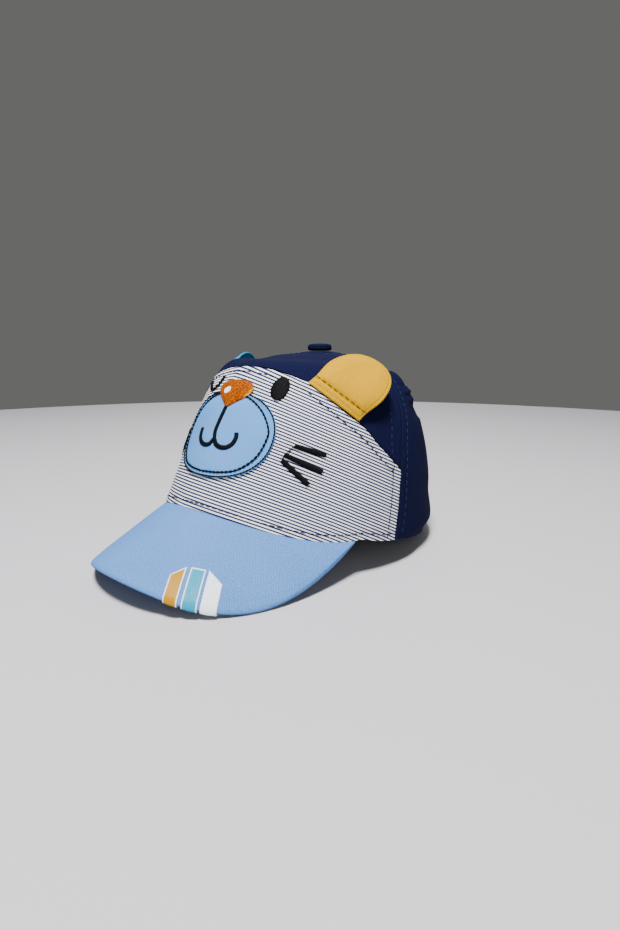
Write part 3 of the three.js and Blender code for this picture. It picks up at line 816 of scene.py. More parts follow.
def seam_relief(distance):
    """A soft ridge at a seam, where the edges are turned under: a faint groove between them."""
    return 0.22 * bump_at(distance, 1.8, 2.4) - 0.3 * bump_at(distance, 0, 0.5)


def edge_relief(distance):
    """The turned-under top edge of the front panel: a soft fold, thinner past its stitches."""
    rounded = -0.5 * bump_at(distance, 0, 0.5)
    return rounded + 0.35 * smooth(distance, 0, 1.2) * (1 - smooth(distance, 3.6, 6.5))


def stitch_relief(distance, place, along):
    """A groove under a line of stitches, with small puckers along it."""
    pucker = 1 + 0.45 * np.sin(FULL_TURN * along / PUCKER_LENGTH)
    return -0.14 * pucker * bump_at(distance, place, 0.8)


def front_panel_distances(angle, rise):
    """Millimetres from the front panel's top seam and from its side seam."""
    away = np.abs(angle)
    top = (front_top(away / seam_angle(rise)) - rise) * MERIDIAN_LENGTH
    slope = np.interp(np.degrees(away), *TOP_SLOPE)
    return top * slope, (seam_angle(rise) - away) * side_speed(rise)


def front_cloth_relief(angle, rise, level):
    top, side = front_panel_distances(angle, rise)
    across = np.degrees(angle) * DEGREE_WIDTH
    low = rise * MERIDIAN_LENGTH
    lift = front_relief(angle, level) + crown_relief(angle, rise)
    lift = lift + edge_relief(top) + 0.6 * seam_relief(side)
    lift = lift + stitch_relief(top, TOP_STITCH, across) + stitch_relief(side, SIDE_STITCH, low)
    lift = lift + 0.6 * stitch_relief(low, RIM_STITCH, across)
    return lift + 0.16 * ripple(across, low, 13, 2.1) * (1 - smooth(top, 3, 12))


def front_row(rise):
    """How far the front stitches of the navy top lie from the side seam."""
    return 8.4 + 12 * (rise - 0.344)


def below_button(rise):
    """Falls from 1 to 0 in the last quarter of the way to the button."""
    return np.minimum(1, (1 - rise) * 4)


def yoke_relief(angle, rise, level):
    top, side = front_panel_distances(angle, rise)
    up = rise * MERIDIAN_LENGTH
    near = below_button(rise)
    lift = crown_relief(angle, rise) - 0.35 * bump_at(top, 0, 0.9)
    lift = lift + near * (seam_relief(side) + stitch_relief(side, front_row(rise), up))
    soft = 0.3 * ripple(np.degrees(angle) * DEGREE_WIDTH, up, 38, 0.4)
    return lift + near * soft * smooth(-top, 1, 10)


def back_relief(angle, rise, level):
    folded = np.minimum(angle, FULL_TURN - angle)
    side = (folded - seam_angle(rise)) * side_speed(rise)
    middle = (math.pi - folded) * RIM_HALF_WIDTH
    up = rise * MERIDIAN_LENGTH
    near = below_button(rise)
    lift = crown_relief(angle, rise) + near * (seam_relief(side) + 0.7 * seam_relief(middle))
    lift = lift + near * stitch_relief(side, REAR_STITCH, up)
    curl = -HEM_CURL * (1 - smooth(up, 0, 7)) + 0.5 * bump_at(up, 9, 5) - 0.8 * bump_at(up, 22, 6)
    soft = 0.7 * ripple(np.degrees(angle) * DEGREE_WIDTH, up * 0.7, 62, 1.3)
    crease = 0.4 * ripple(np.degrees(angle) * 0.5, up, 21, 0.2) * smooth(rise, 0.3, 0.5)
    away = smooth(up, 2, 30) * smooth(side, 0, 12)
    lift = lift + curl * smooth(side, 8, 60)
    return lift + near * away * (soft + crease * (1 - smooth(rise, 0.72, 0.9)))


def round_cloth(angle, rise, level):
    """Places on a cloth spread out flat from the button."""
    reach = (1 - rise) * MERIDIAN_LENGTH
    return reach * np.sin(angle), -reach * np.cos(angle)


def striped_cloth(angle, rise, level):
    """Places on the striped cloth: along the stripes and across them."""
    z = mix(rim_height(angle), CROWN_HEIGHT, level)
    return np.degrees(angle) * DEGREE_WIDTH, stripe_place(angle, z) * sizes().stripe_pitch / MM


def crown_panel(name, columns, rows, angle_at, rise_at, relief_at, cloth_at):
    """One cloth panel of the crown, on the same surface as its solid."""
    piece, u, v = new_grid(name, columns, rows)
    rise = rise_at(u, v)
    angle = angle_at(u, rise)
    points, out, level = crown_frame(angle, rise)
    out[v < 1e-6, 2] = 0
    lift = relief_at(angle, rise, level)
    lay_sheet(piece, points + out * lift[:, None], cloth_at(angle, rise, level), sizes().wall)
    return piece


def make_front_panel():
    edge = 1 - SEAM_GAP / 2 / (math.radians(85) * RIM_HALF_WIDTH)
    piece = crown_panel(
        "striped_front", 260, 130,
        lambda u, rise: mix(-edge, edge, u) * seam_angle(rise),
        lambda u, v: v * (front_top(mix(-edge, edge, u)) - TOP_GAP),
        front_cloth_relief, striped_cloth,
    )
    finish_piece(piece, striped_material(), "striped_cotton", "front_panel")


def make_yoke():
    piece = crown_panel(
        "navy_top", 200, 110,
        lambda u, rise: mix(-1, 1, u) * (seam_angle(rise) - gap_angle(rise)),
        lambda u, v: mix(front_top(mix(-1, 1, u)) + TOP_GAP, APEX_RISE, v),
        yoke_relief, round_cloth,
    )
    finish_piece(piece, navy_material(), "navy_twill", "crown_yoke")


def gap_angle(rise):
    """Half of a seam's gap, as an angle round the crown."""
    level = smooth_crown(np.full_like(rise, math.pi / 2), rise)[0]
    return SEAM_GAP / 2 / np.maximum(level[..., 0], 1)


def back_angle(side, u, rise):
    """Directions of a back panel's points: side is 1 for the wearer's left."""
    seam = seam_angle(rise) + gap_angle(rise)
    middle = math.pi - gap_angle(rise)
    if side > 0:
        return mix(seam, middle, u)
    return mix(FULL_TURN - middle, FULL_TURN - seam, u)


def make_back_panel(side, label):
    piece = crown_panel(
        "navy_back_" + label, 150, 210,
        lambda u, rise: back_angle(side, u, rise),
        lambda u, v: v * APEX_RISE,
        back_relief, round_cloth,
    )
    finish_piece(piece, navy_material(), "navy_twill", "back_panel_" + label)


# Brim: its section goes over the top, round the lip, back below and up inside

BRIM_THICKNESS = 3.0
LIP_REACH = 2.0
TOP_END = 0.52
LIP_END = 0.64
UNDER_END = 0.98


def brim_slim(out):
    """The brim is thinner towards its lip."""
    return 1 - 0.3 * smooth(out, 0.8, 1)


def brim_loop(across, around):
    """Points of the brim, across it and round its section, both as shares."""
    inner = brim_point(across, 0.0)
    outer = brim_point(across, 1.0)
    width = np.linalg.norm(outer - inner, axis=-1)
    lip = np.minimum(LIP_REACH, 0.4 * width)
    ahead = unit(outer - inner)
    half = BRIM_THICKNESS / 2 * np.sqrt(np.clip(1 - np.abs(across) ** 40, 0, 1))
    turn = math.pi * np.clip((around - TOP_END) / (LIP_END - TOP_END), 0, 1)
    under = np.clip((around - LIP_END) / (UNDER_END - LIP_END), 0, 1)
    out = np.where(around < TOP_END, around / TOP_END, 1 - under) * (1 - lip / np.maximum(width, 1e-6))
    points = brim_point(across, out)
    rim = (1 - out) * width
    fold = 0.07 * bump_at(rim, 2.4, 1.4) - 0.05 * bump_at(rim, 4.6, 0.7)
    soft = 0.12 * ripple(points[:, 0], points[:, 1], 45, 0.3)
    lift = (fold + soft) * smooth(out, 0.1, 0.3) * (around < 0.6)
    inside = np.clip((around - UNDER_END) / (1 - UNDER_END), 0, 1) * math.pi
    level = np.cos(turn) * brim_slim(out) * np.where(inside > 0, np.cos(inside), 1)
    points[:, 2] += half * (level - 1) + lift - 0.05
    return points + ahead * (np.sin(turn) * lip)[:, None]


def make_brim():
    piece, u, v = new_grid("sky_brim", 240, 150)
    points = brim_loop(np.sin(math.pi / 2 * mix(-1, 1, u)), v)
    place_points(piece, points, points[:, 0], points[:, 1] + 7 * (v > 0.58))
    pick(piece)
    bpy.ops.object.mode_set(mode="EDIT")
    bpy.ops.mesh.select_all(action="SELECT")
    bpy.ops.mesh.remove_doubles(threshold=0.02 * MM)
    bpy.ops.mesh.normals_make_consistent(inside=False)
    bpy.ops.object.mode_set(mode="OBJECT")
    shade_round(piece)
    material = twill_material("Sky Twill", colours().sky, 0.62, 1.16, specks=0.4)
    finish_piece(piece, material, "sky_twill", "brim")


# Button and ears

BUTTON = {"radius": 7.1, "low": 107.85, "high": 112.2, "squareness": 0.42, "gathers": 18}


def make_button():
    piece, turn, flat, z = new_ball("cloth_button", 96, 60)
    flat = flat ** BUTTON["squareness"]
    level = np.sign(z) * np.abs(z) ** BUTTON["squareness"]
    gather = 0.012 * np.sin(BUTTON["gathers"] * turn) * smooth(flat, 0.75, 1)
    gather = 1 + gather * (1 - smooth(level, 0, 0.9))
    reach = BUTTON["radius"] * flat * gather * mix(0.97, 1, smooth(-level, -1, 0.6))
    half = (BUTTON["high"] - BUTTON["low"]) / 2
    height = BUTTON["low"] + half + half * level - 0.25 * smooth(flat, 0, 1) * (level > 0)
    x, y = reach * np.cos(turn), reach * np.sin(turn) + APEX_BACK
    place_points(piece, np.stack([x, y, height], -1), x + height * 0.7, y - height * 0.7)
    shade_round(piece, BALL_SMOOTHING)
    finish_piece(piece, navy_material(), "navy_twill", "top_button")


EAR_WIDTH = 33.5
EAR_HEIGHT = 39.2
EAR_WIDEST = 7.65
EAR_BASE = 35.7
EAR_MIDDLE = 0.45 * EAR_HEIGHT
EAR_CROWN_POWER = 0.952
EAR_SKEW = 0.14
EAR_BOW = 4.5
EAR_THICKNESS = 4.0
EAR_EDGE = 1.7
EAR_LIFT = 1.2
EAR_STITCH = 4.3
EAR_STITCH_REACH = 17.2
EAR_UP = np.array((-0.016, 0.843, 0.536))

# Each ear's side, the two ends of its foot on the cloth, how far it is turned, and its finish
EARS = {
    "left": (1, ((38.2, 70.1), (70.8, 52.4)), 0.0, "yellow_twill"),
    "right": (-1, ((51.4, 81.0), (69.4, 51.4)), math.radians(-15.9), "teal_twill"),
}


def ear_point(label, across, up, lift):
    """Points of an ear, and the direction out of it: its foot follows the crown."""
    side, ends, turned, _ = EARS[label]

    def foot_at(share):
        share = np.clip(share, 0, 1)
        place = [mix(ends[0][k], ends[1][k], share) for k in (0, 1)]
        angle, height = face_place(*place)
        out = outward(crown_at_height, angle, height)
        return crown_at_height(angle, height) + out * EAR_LIFT

    feet = foot_at(np.array((0.0, 1.0)))
    along = unit(feet[1] - feet[0])
    flat = feet.mean(axis=0) + across[:, None] * along
    share = up / EAR_HEIGHT
    bow = EAR_BOW * 4 * share * (1 - share)
    out = unit(np.cross(along, EAR_UP))
    upward = EAR_UP * math.cos(turned) + np.cross(out, EAR_UP) * math.sin(turned)
    points = mix(foot_at(across / EAR_BASE + 0.5), flat, smooth(up, 0, EAR_MIDDLE)[:, None])
    points = points + up[:, None] * (upward + EAR_SKEW * along) + (bow + lift)[:, None] * out
    return points * (side, 1, 1), out * (side, 1, 1)


def ear_reach(turn):
    """Distance from the ear's middle to its outline, for each direction."""
    share = np.linspace(0, 1, 20)
    side = mix(EAR_BASE / 2, EAR_WIDTH / 2, np.sqrt(share))
    arc = np.linspace(0, math.pi, 90)
    rise = (EAR_HEIGHT - EAR_WIDEST) * np.maximum(np.sin(arc), 0) ** EAR_CROWN_POWER
    foot = EAR_BASE / 2 * np.linspace(-1, 1, 40)[1:-1]
    x = np.concatenate([side, EAR_WIDTH / 2 * np.cos(arc), -side, foot])
    y = np.concatenate([EAR_WIDEST * share, EAR_WIDEST + rise, EAR_WIDEST * share, 0 * foot])
    turns = np.arctan2(y - EAR_MIDDLE, x)
    order = np.argsort(turns)
    reach = np.hypot(x, y - EAR_MIDDLE)[order]
    return np.interp(turn, turns[order], reach, period=FULL_TURN)


def make_ears():
    materials = {
        "left": twill_material("Yellow Twill", colours().yellow, 0.85, 1.1),
        "right": twill_material("Teal Twill", colours().teal, 0.85, 1.15),
    }
    for label, (_, _, _, slot) in EARS.items():
        piece, turn, flat, z = new_ball("padded_ear_" + label, 160, 96)
        reach = ear_reach(turn)
        inward = (1 - flat) * reach
        across = np.cos(turn) * reach * flat
        up = np.sin(turn) * reach * flat + EAR_MIDDLE
        plump = mix(EAR_EDGE, EAR_THICKNESS, smooth(inward, 0, 9) ** 0.7)
        plump = plump * mix(0.6, 1, smooth(up, 1, 11))
        groove = 0.55 * bump_at(up, EAR_STITCH, 0.8) + 0.25 * bump_at(inward, 1.5, 0.5)
        rounding = np.sqrt(np.clip(1 - flat**30, 0, 1))
        pucker = 0.05 * np.sin(30 * turn) * bump_at(inward, 1.6, 1.4)
        dimple = 0.12 * ripple(across, up, 15, 0.6) * smooth(inward, 2, 8)
        lift = np.sign(z) * ((plump / 2 - groove) * rounding + pucker + dimple)
        points, _ = ear_point(label, across, np.maximum(up, 0), lift)
        place_points(piece, points, across, up)
        face_out(piece, points.mean(axis=0))
        shade_round(piece, BALL_SMOOTHING)
        finish_piece(piece, materials[label], slot, "ear_" + label)


# Face: all places are millimetres across and up the front panel's cloth

MUZZLE = {"across": 1.0, "up": 39.5, "half_width": 32.2, "rise": 23.2, "drop": 22.8}
MUZZLE_SQUARENESS = 0.92
MUZZLE_FAR_SHARE = 0.95
MUZZLE_REACH = 28
MUZZLE_EDGE_SHARE = 0.982
MUZZLE_MIRROR_SHARE = 0.9
MUZZLE_THICKNESS = 0.9
EYE = {"across": 26.3, "up": 66.4, "width": 9.0, "height": 13.0, "tilt": math.radians(-15)}
WINK = ((-14.1, 71.6), (-14.8, 67.4), (-17.2, 64.2), (-20.6, 63.0), (-24.6, 64.4), (-28.2, 67.6))
LIP_LINE = (
    (-11.8, 41.0), (-11.0, 36.8), (-8.6, 33.8), (-4.8, 32.4), (-1.0, 33.0), (1.2, 35.8),
    (3.4, 33.6), (6.8, 32.4), (10.4, 32.8), (13.2, 35.0), (14.1, 38.2), (13.5, 40.8),
)
PHILTRUM = ((1.2, 53.6), (0.3, 45.3), (0.1, 40.0), (1.2, 36.4))
WHISKERS = (((43.2, 40.0), (58.9, 37.6)), ((40.0, 35.3), (59.6, 30.0)), ((39.4, 32.6), (54.9, 23.9)))
HIGHLIGHT = ((-3.5, 61.0), (-1.6, 62.1), (0.2, 63.2))
LINE_WIDTH = 2.4
LINE_HEIGHT = 0.7
PHILTRUM_WIDTH = 2.3
HIGHLIGHT_WIDTH = 3.6
ON_MUZZLE = 1.05
EMBROIDERY_WALL = 0.3 * MM
SPINE_PLACES = 400
STRIP_COLUMNS = 14
ROWS_A_THREAD = 4
OUTLINE_PLACES = 700

# The nose's outline: rows of height, reach to the wearer's right and reach to the left
NOSE_ROWS = (
    (53.2, 0.4, 0.6), (54.4, 1.9, 2.6), (56.6, 4.6, 5.6), (58.8, 7.3, 9.0), (60.6, 9.4, 11.2),
    (62.4, 10.6, 11.7), (64.2, 11.0, 11.9), (66.2, 10.3, 11.2), (67.6, 8.2, 9.3), (68.5, 5.2, 6.2),
    (68.9, 0.6, 0.6),
)
NOSE_MIDDLE = 1.3
NOSE_STITCH = 2.4


def muzzle_place(turn, radius):
    """Places of the muzzle, a soft oval that is narrower on its far side."""
    cosine, sine = np.cos(turn), np.sin(turn)
    across = MUZZLE["half_width"] * np.sign(cosine) * np.abs(cosine) ** MUZZLE_SQUARENESS
    across = across * np.where(cosine < 0, MUZZLE_FAR_SHARE, 1.0)
    tall = np.where(sine > 0, MUZZLE["rise"], MUZZLE["drop"])
    up = tall * np.sign(sine) * np.abs(sine) ** MUZZLE_SQUARENESS
    return MUZZLE["across"] + across * radius, MUZZLE["up"] + up * radius


def make_muzzle():
    piece, turn, radius = new_disc("muzzle", 180, 42)
    across, up = muzzle_place(turn, radius)
    rim = (1 - radius) * MUZZLE_REACH
    lift = MUZZLE_THICKNESS + 0.05 - 0.3 * bump_at(rim, 2.6, 0.7)
    lift = lift + 0.18 * smooth(rim, 3, 9) + 0.06 * ripple(across, up, 17, 1.1)
    points, _ = face_point(across, up, lift)
    lay_sheet(piece, points, (across, up), MUZZLE_THICKNESS * MM * 0.9, bevel=0.25 * MM)
    material = twill_material("Muzzle Cloth", colours().pale, 0.93, 1.05, depth=0.04)
    finish_piece(piece, material, "muzzle_cloth", "muzzle_patch")


def curve_length(points):
    """Distance walked along a line, at each of its points."""
    return np.concatenate([[0], np.cumsum(np.linalg.norm(np.diff(points, axis=0), axis=1))])


def along_curve(walked, lengths, points):
    """The places that a line passes at the given distances along it."""
    return np.stack([np.interp(walked, lengths, column) for column in points.T], axis=-1)


def smooth_path(points, count):
    """A soft curve through a few places, as evenly spaced places, and its length."""
    points = np.array(points, float)
    ends = np.concatenate([2 * points[:1] - points[1:2], points, 2 * points[-1:] - points[-2:-1]])
    t = np.linspace(0, 1, 24, endpoint=False)[:, None]
    dense = []
    for k in range(1, len(ends) - 2):
        a, b, c, d = ends[k - 1 : k + 3]
        bend = (2 * a - 5 * b + 4 * c - d) * t**2 + (3 * b - a - 3 * c + d) * t**3
        dense.append(0.5 * (2 * b + (c - a) * t + bend))
    dense = np.concatenate([*dense, points[-1:]])
    lengths = curve_length(dense)
    return along_curve(np.linspace(0, lengths[-1], count), lengths, dense), lengths[-1]


def thread_dome(edge):
    """The rounded section of a satin line, from -1 to 1 across it."""
    return np.sqrt(np.clip(1 - np.abs(edge) ** 2.6, 0, 1))


def embroider(piece, across, up, lift, cloth):
    points, _ = face_point(across, up, lift)
    lay_sheet(piece, points, cloth, EMBROIDERY_WALL, even=False)


def satin_strip(name, path, base, nodes=(), width_at=None, height=LINE_HEIGHT, white=False):
    """Satin stitches laid side by side along a path, each thread a raised rib."""
    spine, length = smooth_path(path, SPINE_PLACES)
    piece, u, v = new_grid(name, STRIP_COLUMNS, int(length / SATIN_PITCH * ROWS_A_THREAD))
    shares = np.linspace(0, 1, SPINE_PLACES)
    centre = along_curve(v, shares, spine)
    tangent = unit(along_curve(v, shares, np.gradient(spine, axis=0)))
    half = (width_at or line_width)(v) / 2
    edge = 2 * u - 1
    thread = v * length / SATIN_PITCH
    reach = edge * half * (1 + 0.05 * np.sin(np.floor(thread) * 2.7) * np.abs(edge))
    across = centre[:, 0] + reach * tangent[:, 1]
    up = centre[:, 1] - reach * tangent[:, 0]
    dome = thread_dome(edge)
    slim = np.clip(half / (0.5 * height + 0.01), 0, 1)
    rib = 0.09 * np.abs(np.sin(math.pi * thread)) * dome
    embroider(piece, across, up, base + 0.12 + (height * dome + rib) * slim, (reach, v * length))
    if white:
        finish_piece(piece, satin_material("White Thread", colours().ribbon_white), "white_satin")
    else:
        finish_piece(piece, black_material(), "black_thread", *nodes)


def line_width(v):
    """Satin lines keep their width to their square ends."""
    return LINE_WIDTH * (0.9 + 0.1 * np.sqrt(np.clip(1 - (2 * v - 1) ** 10, 0, 1)))


def philtrum_width(v):
    return line_width(v) * PHILTRUM_WIDTH / LINE_WIDTH


def eye_width(v):
    return EYE["width"] * np.clip(1 - np.abs(2 * v - 1) ** 2.1, 0.01, 1) ** 0.48


def highlight_width(v):
    return HIGHLIGHT_WIDTH * np.sqrt(np.clip(1 - (2 * v - 1) ** 4, 0.05, 1))


def make_eyes():
    lean = np.array((math.sin(EYE["tilt"]), math.cos(EYE["tilt"]))) * EYE["height"] / 2 * 0.995
    middle = np.array((EYE["across"], EYE["up"]))
    path = (middle - lean, middle, middle + lean)
    satin_strip("open_eye", path, 0.0, ("eye_open",), eye_width, 0.9)
    satin_strip("winking_eye", WINK, 0.0, ("eye_wink",))


def make_mouth():
    satin_strip("lip_line", LIP_LINE, ON_MUZZLE, ("mouth",))
    satin_strip("philtrum", PHILTRUM, ON_MUZZLE, width_at=philtrum_width)


def make_whiskers():
    for side, label in SIDES:
        for k, ends in enumerate(np.array(WHISKERS) * (side, 1)):
            path = (ends[0], ends.mean(axis=0), ends[1])
            satin_strip(f"whisker_line_{label}_{k + 1}", path, 0.0, (f"whisker_{label}_{k + 1}",))


def make_jump_threads():
    """A loose thread that runs from one whisker's inner end to the next."""
    for side, label in SIDES:
        inner = np.array(WHISKERS)[:, 0] * (side, 1)
        path = np.concatenate([np.linspace(inner[0], inner[1], 30), np.linspace(inner[1], inner[2], 20)])
        places, out = face_point(*path.T, np.full(len(path), 0.3))
        sew("jump_thread_" + label, places, out, black_material(), "black_thread", 2.4, -0.2, 0.6)


def make_nose():
    """A rounded triangle, point down, filled with short level stitches."""
    heights, far_reach, near_reach = np.array(NOSE_ROWS).T
    piece, u, v = new_grid("nose_tip", 72, 96)
    up = mix(heights[0], heights[-1], (1 - np.cos(math.pi * v)) / 2)
    edge = 2 * u - 1
    side = np.where(edge < 0, np.interp(up, heights, far_reach), np.interp(up, heights, near_reach))
    across = NOSE_MIDDLE + edge * side
    dome = thread_dome(edge) * np.sqrt(np.clip(np.sin(math.pi * v), 0, 1))
    row = up / NOSE_PITCH
    brick = across / NOSE_STITCH + 0.5 * (np.floor(row) % 2)
    thread = 0.12 * np.abs(np.sin(math.pi * row)) * (0.6 + 0.4 * np.abs(np.sin(math.pi * brick)))
    embroider(piece, across, up, ON_MUZZLE + 0.1 + (1.1 + thread) * dome, (across, up))
    finish_piece(piece, nose_material(), "orange_thread", "nose")
    satin_strip(
        "nose_highlight", HIGHLIGHT, ON_MUZZLE + 1.0, width_at=highlight_width, height=0.35, white=True
    )


# Tabs on the brim's edge: where each starts and ends along it, and how far its two sides reach in

TABS = {
    "yellow": (-40.7, -34.6, 9.0, 13.9),
    "teal": (-32.8, -26.3, 14.0, 13.8),
    "white": (-25.0, -18.4, 13.8, 8.7),
}
TAB_TURN = math.radians(32.7)
TAB_INWARD = np.array((-math.sin(TAB_TURN), math.cos(TAB_TURN), 0))
TAB_ACROSS = np.array((math.cos(TAB_TURN), math.sin(TAB_TURN), 0))
TAB_UNDERSIDE = 6.0
TAB_THICKNESS = 0.45


def make_tabs():
    """Ribbons folded over the brim's edge, all cut in one direction."""
    walk = np.linspace(0, 0.9, 3000)
    edge = brim_point(walk, 1.0)
    half = BRIM_THICKNESS / 2
    turn_length = math.pi * (half + LIP_REACH) / 2
    for label, (start, end, first, last) in TABS.items():
        piece, u, v = new_grid("ribbon_" + label, 16, 80)
        across = np.interp(mix(start, end, u), edge @ TAB_ACROSS, walk)
        lip = brim_point(across, 1.0)
        top = mix(first, last, u) - LIP_REACH
        clear = TAB_THICKNESS + 0.15 + 0.1 * np.sin(math.pi * u)
        walked = v * (top + turn_length + TAB_UNDERSIDE)
        bend = np.clip((walked - top) / turn_length, 0, 1) * math.pi
        flat = np.where(walked < top, top - walked, np.maximum(walked - top - turn_length, 0))
        reach = LIP_REACH + flat - np.sin(bend) * (LIP_REACH + clear)
        points = lip + TAB_INWARD * reach[:, None]
        slim = 1 - 0.3 * (1 - smooth(reach, 2, 8))
        points[:, 2] = brim_height(points[:, 0], points[:, 1]) - half
        points[:, 2] += (half * slim + clear) * np.cos(bend)
        middle = lip.mean(axis=0) + TAB_INWARD * 4
        middle[2] = brim_height(middle[0], middle[1]) - half
        cloth = u * (end - start), walked
        lay_sheet(piece, points, cloth, TAB_THICKNESS * MM, bevel=0.12 * MM, inside=middle)
        tint = getattr(colours(), "ribbon_" + label)
        material = ribbon_material(label.title() + " Ribbon", tint, end - start)
        finish_piece(piece, material, label + "_satin", "tab_" + label)


# Sewing: gaps between stitches, and where one stitch is cut across to bend, as shares of it

FRONT_GAP = 0.6
NAVY_GAP = 1.6
EAR_GAP = 0.25
STITCH_CUTS = (-0.38, -0.15, 0.15, 0.38)


def sew(name, places, outs, material, slot, length, gap, width, sunk=0.0):
    """A row of thread stitches along a path over cloth, joined into one mesh."""
    lengths = curve_length(places)
    count = max(1, int(lengths[-1] / (length + gap)))
    start_piece()
    bpy.ops.mesh.primitive_cylinder_add(vertices=6, radius=0.5, depth=1, end_fill_type="TRIFAN")
    piece = named(name)
    bpy.ops.object.mode_set(mode="EDIT")
    for cut in STITCH_CUTS:
        bpy.ops.mesh.select_all(action="SELECT")
        bpy.ops.mesh.bisect(plane_co=(0, 0, cut), plane_no=(0, 0, 1))
    bpy.ops.object.mode_set(mode="OBJECT")
    stitch = read_points(piece)
    faces = [tuple(p.vertices) for p in piece.data.polygons]
    along = stitch[:, 2]
    taper = np.sqrt(np.clip(1 - (2 * along) ** 4, 0.12, 1))
    arch = 0.5 - 1.5 * np.abs(along) ** 2.5
    points, quads = [], []
    for k in range(count):
        middle = (k + 0.5) * lengths[-1] / count
        before, after = along_curve(np.array((middle - 0.4, middle + 0.4)), lengths, places)
        out = unit(along_curve(middle, lengths, outs))
        ahead = unit(after - before)
        body = (before + after) / 2 + ahead * (along * length)[:, None]
        body = body + np.cross(ahead, out) * (stitch[:, 0] * width * taper)[:, None]
        body = body + out * ((stitch[:, 1] * taper + arch) * width - sunk)[:, None]
        quads += [tuple(index + k * len(stitch) for index in face) for face in faces]
        points.append(body)
    mesh = bpy.data.meshes.new(name)
    mesh.from_pydata(to_part(np.concatenate(points)).tolist(), [], quads)
    spare = piece.data
    piece.data = mesh
    bpy.data.meshes.remove(spare)
    cloth_map(piece, np.tile(stitch[:, 0], count), np.tile(along * 2, count))
    shade_round(piece, THREAD_SMOOTHING)
    finish_piece(piece, material, slot)


def crown_path(angle, rise, relief_at):
    """Places and outward directions of a line over the crown's cloth."""
    points, out, level = crown_frame(angle, rise)
    return points + out * relief_at(angle, rise, level)[:, None], out


def solve_share(distance_at, wanted):
    """The share from 0 to 1 at which a falling distance reaches what is wanted."""
    low, high = np.zeros_like(wanted), np.ones_like(wanted)
    for _ in range(HALVINGS):
        middle = (low + high) / 2
        far = distance_at(middle) > wanted
        low, high = np.where(far, middle, low), np.where(far, high, middle)
    return (low + high) / 2


def seam_thread():
    return sizes().stitch_length / MM, sizes().thread_width / MM


def make_front_stitches():
    navy = thread_material("Navy Thread", colours().stripe)
    length, width = seam_thread()
    angle = np.radians(np.linspace(-81.2, 81.2, 500))
    limit = front_top(np.clip(angle / seam_angle(0.3 + 0 * angle), -1, 1))
    rise = limit * solve_share(
        lambda share: front_panel_distances(angle, share * limit)[0], np.full_like(angle, TOP_STITCH)
    )
    rows = [("diagonal", angle, rise)]
    for side, label in SIDES:
        rise = np.linspace(0.008, 0.3, 160)
        angle = side * (seam_angle(rise) - SIDE_STITCH / side_speed(rise))
        rows.append(("side_" + label, angle, rise))
    angle = np.radians(np.linspace(-80, 80, 500))
    rows.append(("rim", angle, np.full_like(angle, RIM_STITCH / MERIDIAN_LENGTH)))
    for label, angle, rise in rows:
        places, out = crown_path(angle, rise, front_cloth_relief)
        sew("stitches_" + label, places, out, navy, "navy_twill", length, FRONT_GAP, width)


def make_navy_stitches():
    pale = thread_material("Pale Thread", colours().pale_thread)
    length, width = seam_thread()
    rows = (
        ("back", 1, 0.02, 0.93, lambda rise: REAR_STITCH, back_relief),
        ("top", -1, 0.31, 0.93, front_row, yoke_relief),
    )
    for side, label in SIDES:
        for part, step, low, high, distance, relief_at in rows:
            rise = np.linspace(low, high, 300)
            angle = side * (seam_angle(rise) + step * distance(rise) / side_speed(rise))
            places, out = crown_path(angle % FULL_TURN, rise, relief_at)
            name = f"stitches_{part}_{label}"
            sew(name, places, out, pale, "sky_twill", length * 0.8, NAVY_GAP, width * 0.7)


def make_ear_stitches():
    tints = {"left": colours().brown_thread, "right": colours().teal_thread}
    length, width = seam_thread()
    across = np.linspace(-EAR_STITCH_REACH, EAR_STITCH_REACH, 80)
    for label, tint in tints.items():
        thread = thread_material(label.title() + " Ear Thread", tint)
        for face, word in ((1, "front"), (-1, "rear")):
            lift = face * (EAR_THICKNESS * 0.34 - 0.45) * np.ones_like(across)
            places, out = ear_point(label, across, np.full_like(across, EAR_STITCH), lift)
            outs = np.tile(out * face, (len(across), 1))
            name = f"stitches_ear_{label}_{word}"
            sew(name, places, outs, thread, "black_thread", length, EAR_GAP, width * 0.8)


MUZZLE_STITCH_PATH = (
    (0.2, 19.0), (11.3, 20.3), (20.4, 23.6), (27.2, 31.1), (29.5, 40.4), (28.3, 46.2), (22.0, 53.9),
    (12.2, 59.6),
)


def make_muzzle_stitches():
    mirrored = [(-MUZZLE_MIRROR_SHARE * x, y) for x, y in MUZZLE_STITCH_PATH[::-1]]
    outline, _ = smooth_path([*MUZZLE_STITCH_PATH, (0.0, 61.6), *mirrored], OUTLINE_PLACES)
    turn = np.linspace(0, FULL_TURN, OUTLINE_PLACES)
    edge = np.stack(muzzle_place(turn, MUZZLE_EDGE_SHARE), axis=-1)
    for name, path, lift, length, gap, width in (
        ("muzzle_outline", outline, 0.15, 2.3, 0.05, 1.1),
        ("muzzle_edge_stitches", edge, 0.18, 1.6, 0.0, 0.9),
    ):
        places, out = face_point(*path.T, np.full(len(path), MUZZLE_THICKNESS + lift))
        sew(name, places, out, black_material(), "black_thread", length, gap, width, width * 0.45)


# Stage


def make_camera():
    turn, dip = math.radians(CAMERA_TURN), math.radians(CAMERA_DIP)
    ahead = Vector(
        (-math.sin(turn) * math.cos(dip), math.cos(turn) * math.cos(dip), -math.sin(dip))
    )
    right = ahead.cross(Vector((0, 0, 1))).normalized()
    matrix = Matrix((right, right.cross(ahead), -ahead)).transposed().to_4x4()
    matrix.translation = Vector(to_part(CAMERA_PLACE))
    start_piece()
    bpy.ops.object.camera_add()
    camera = named("photo_camera")
    camera.data.sensor_width = 36
    camera.data.lens = CAMERA_LENS
    camera.data.clip_start = 0.01
    camera.matrix_world = matrix
    bpy.context.scene.camera = camera


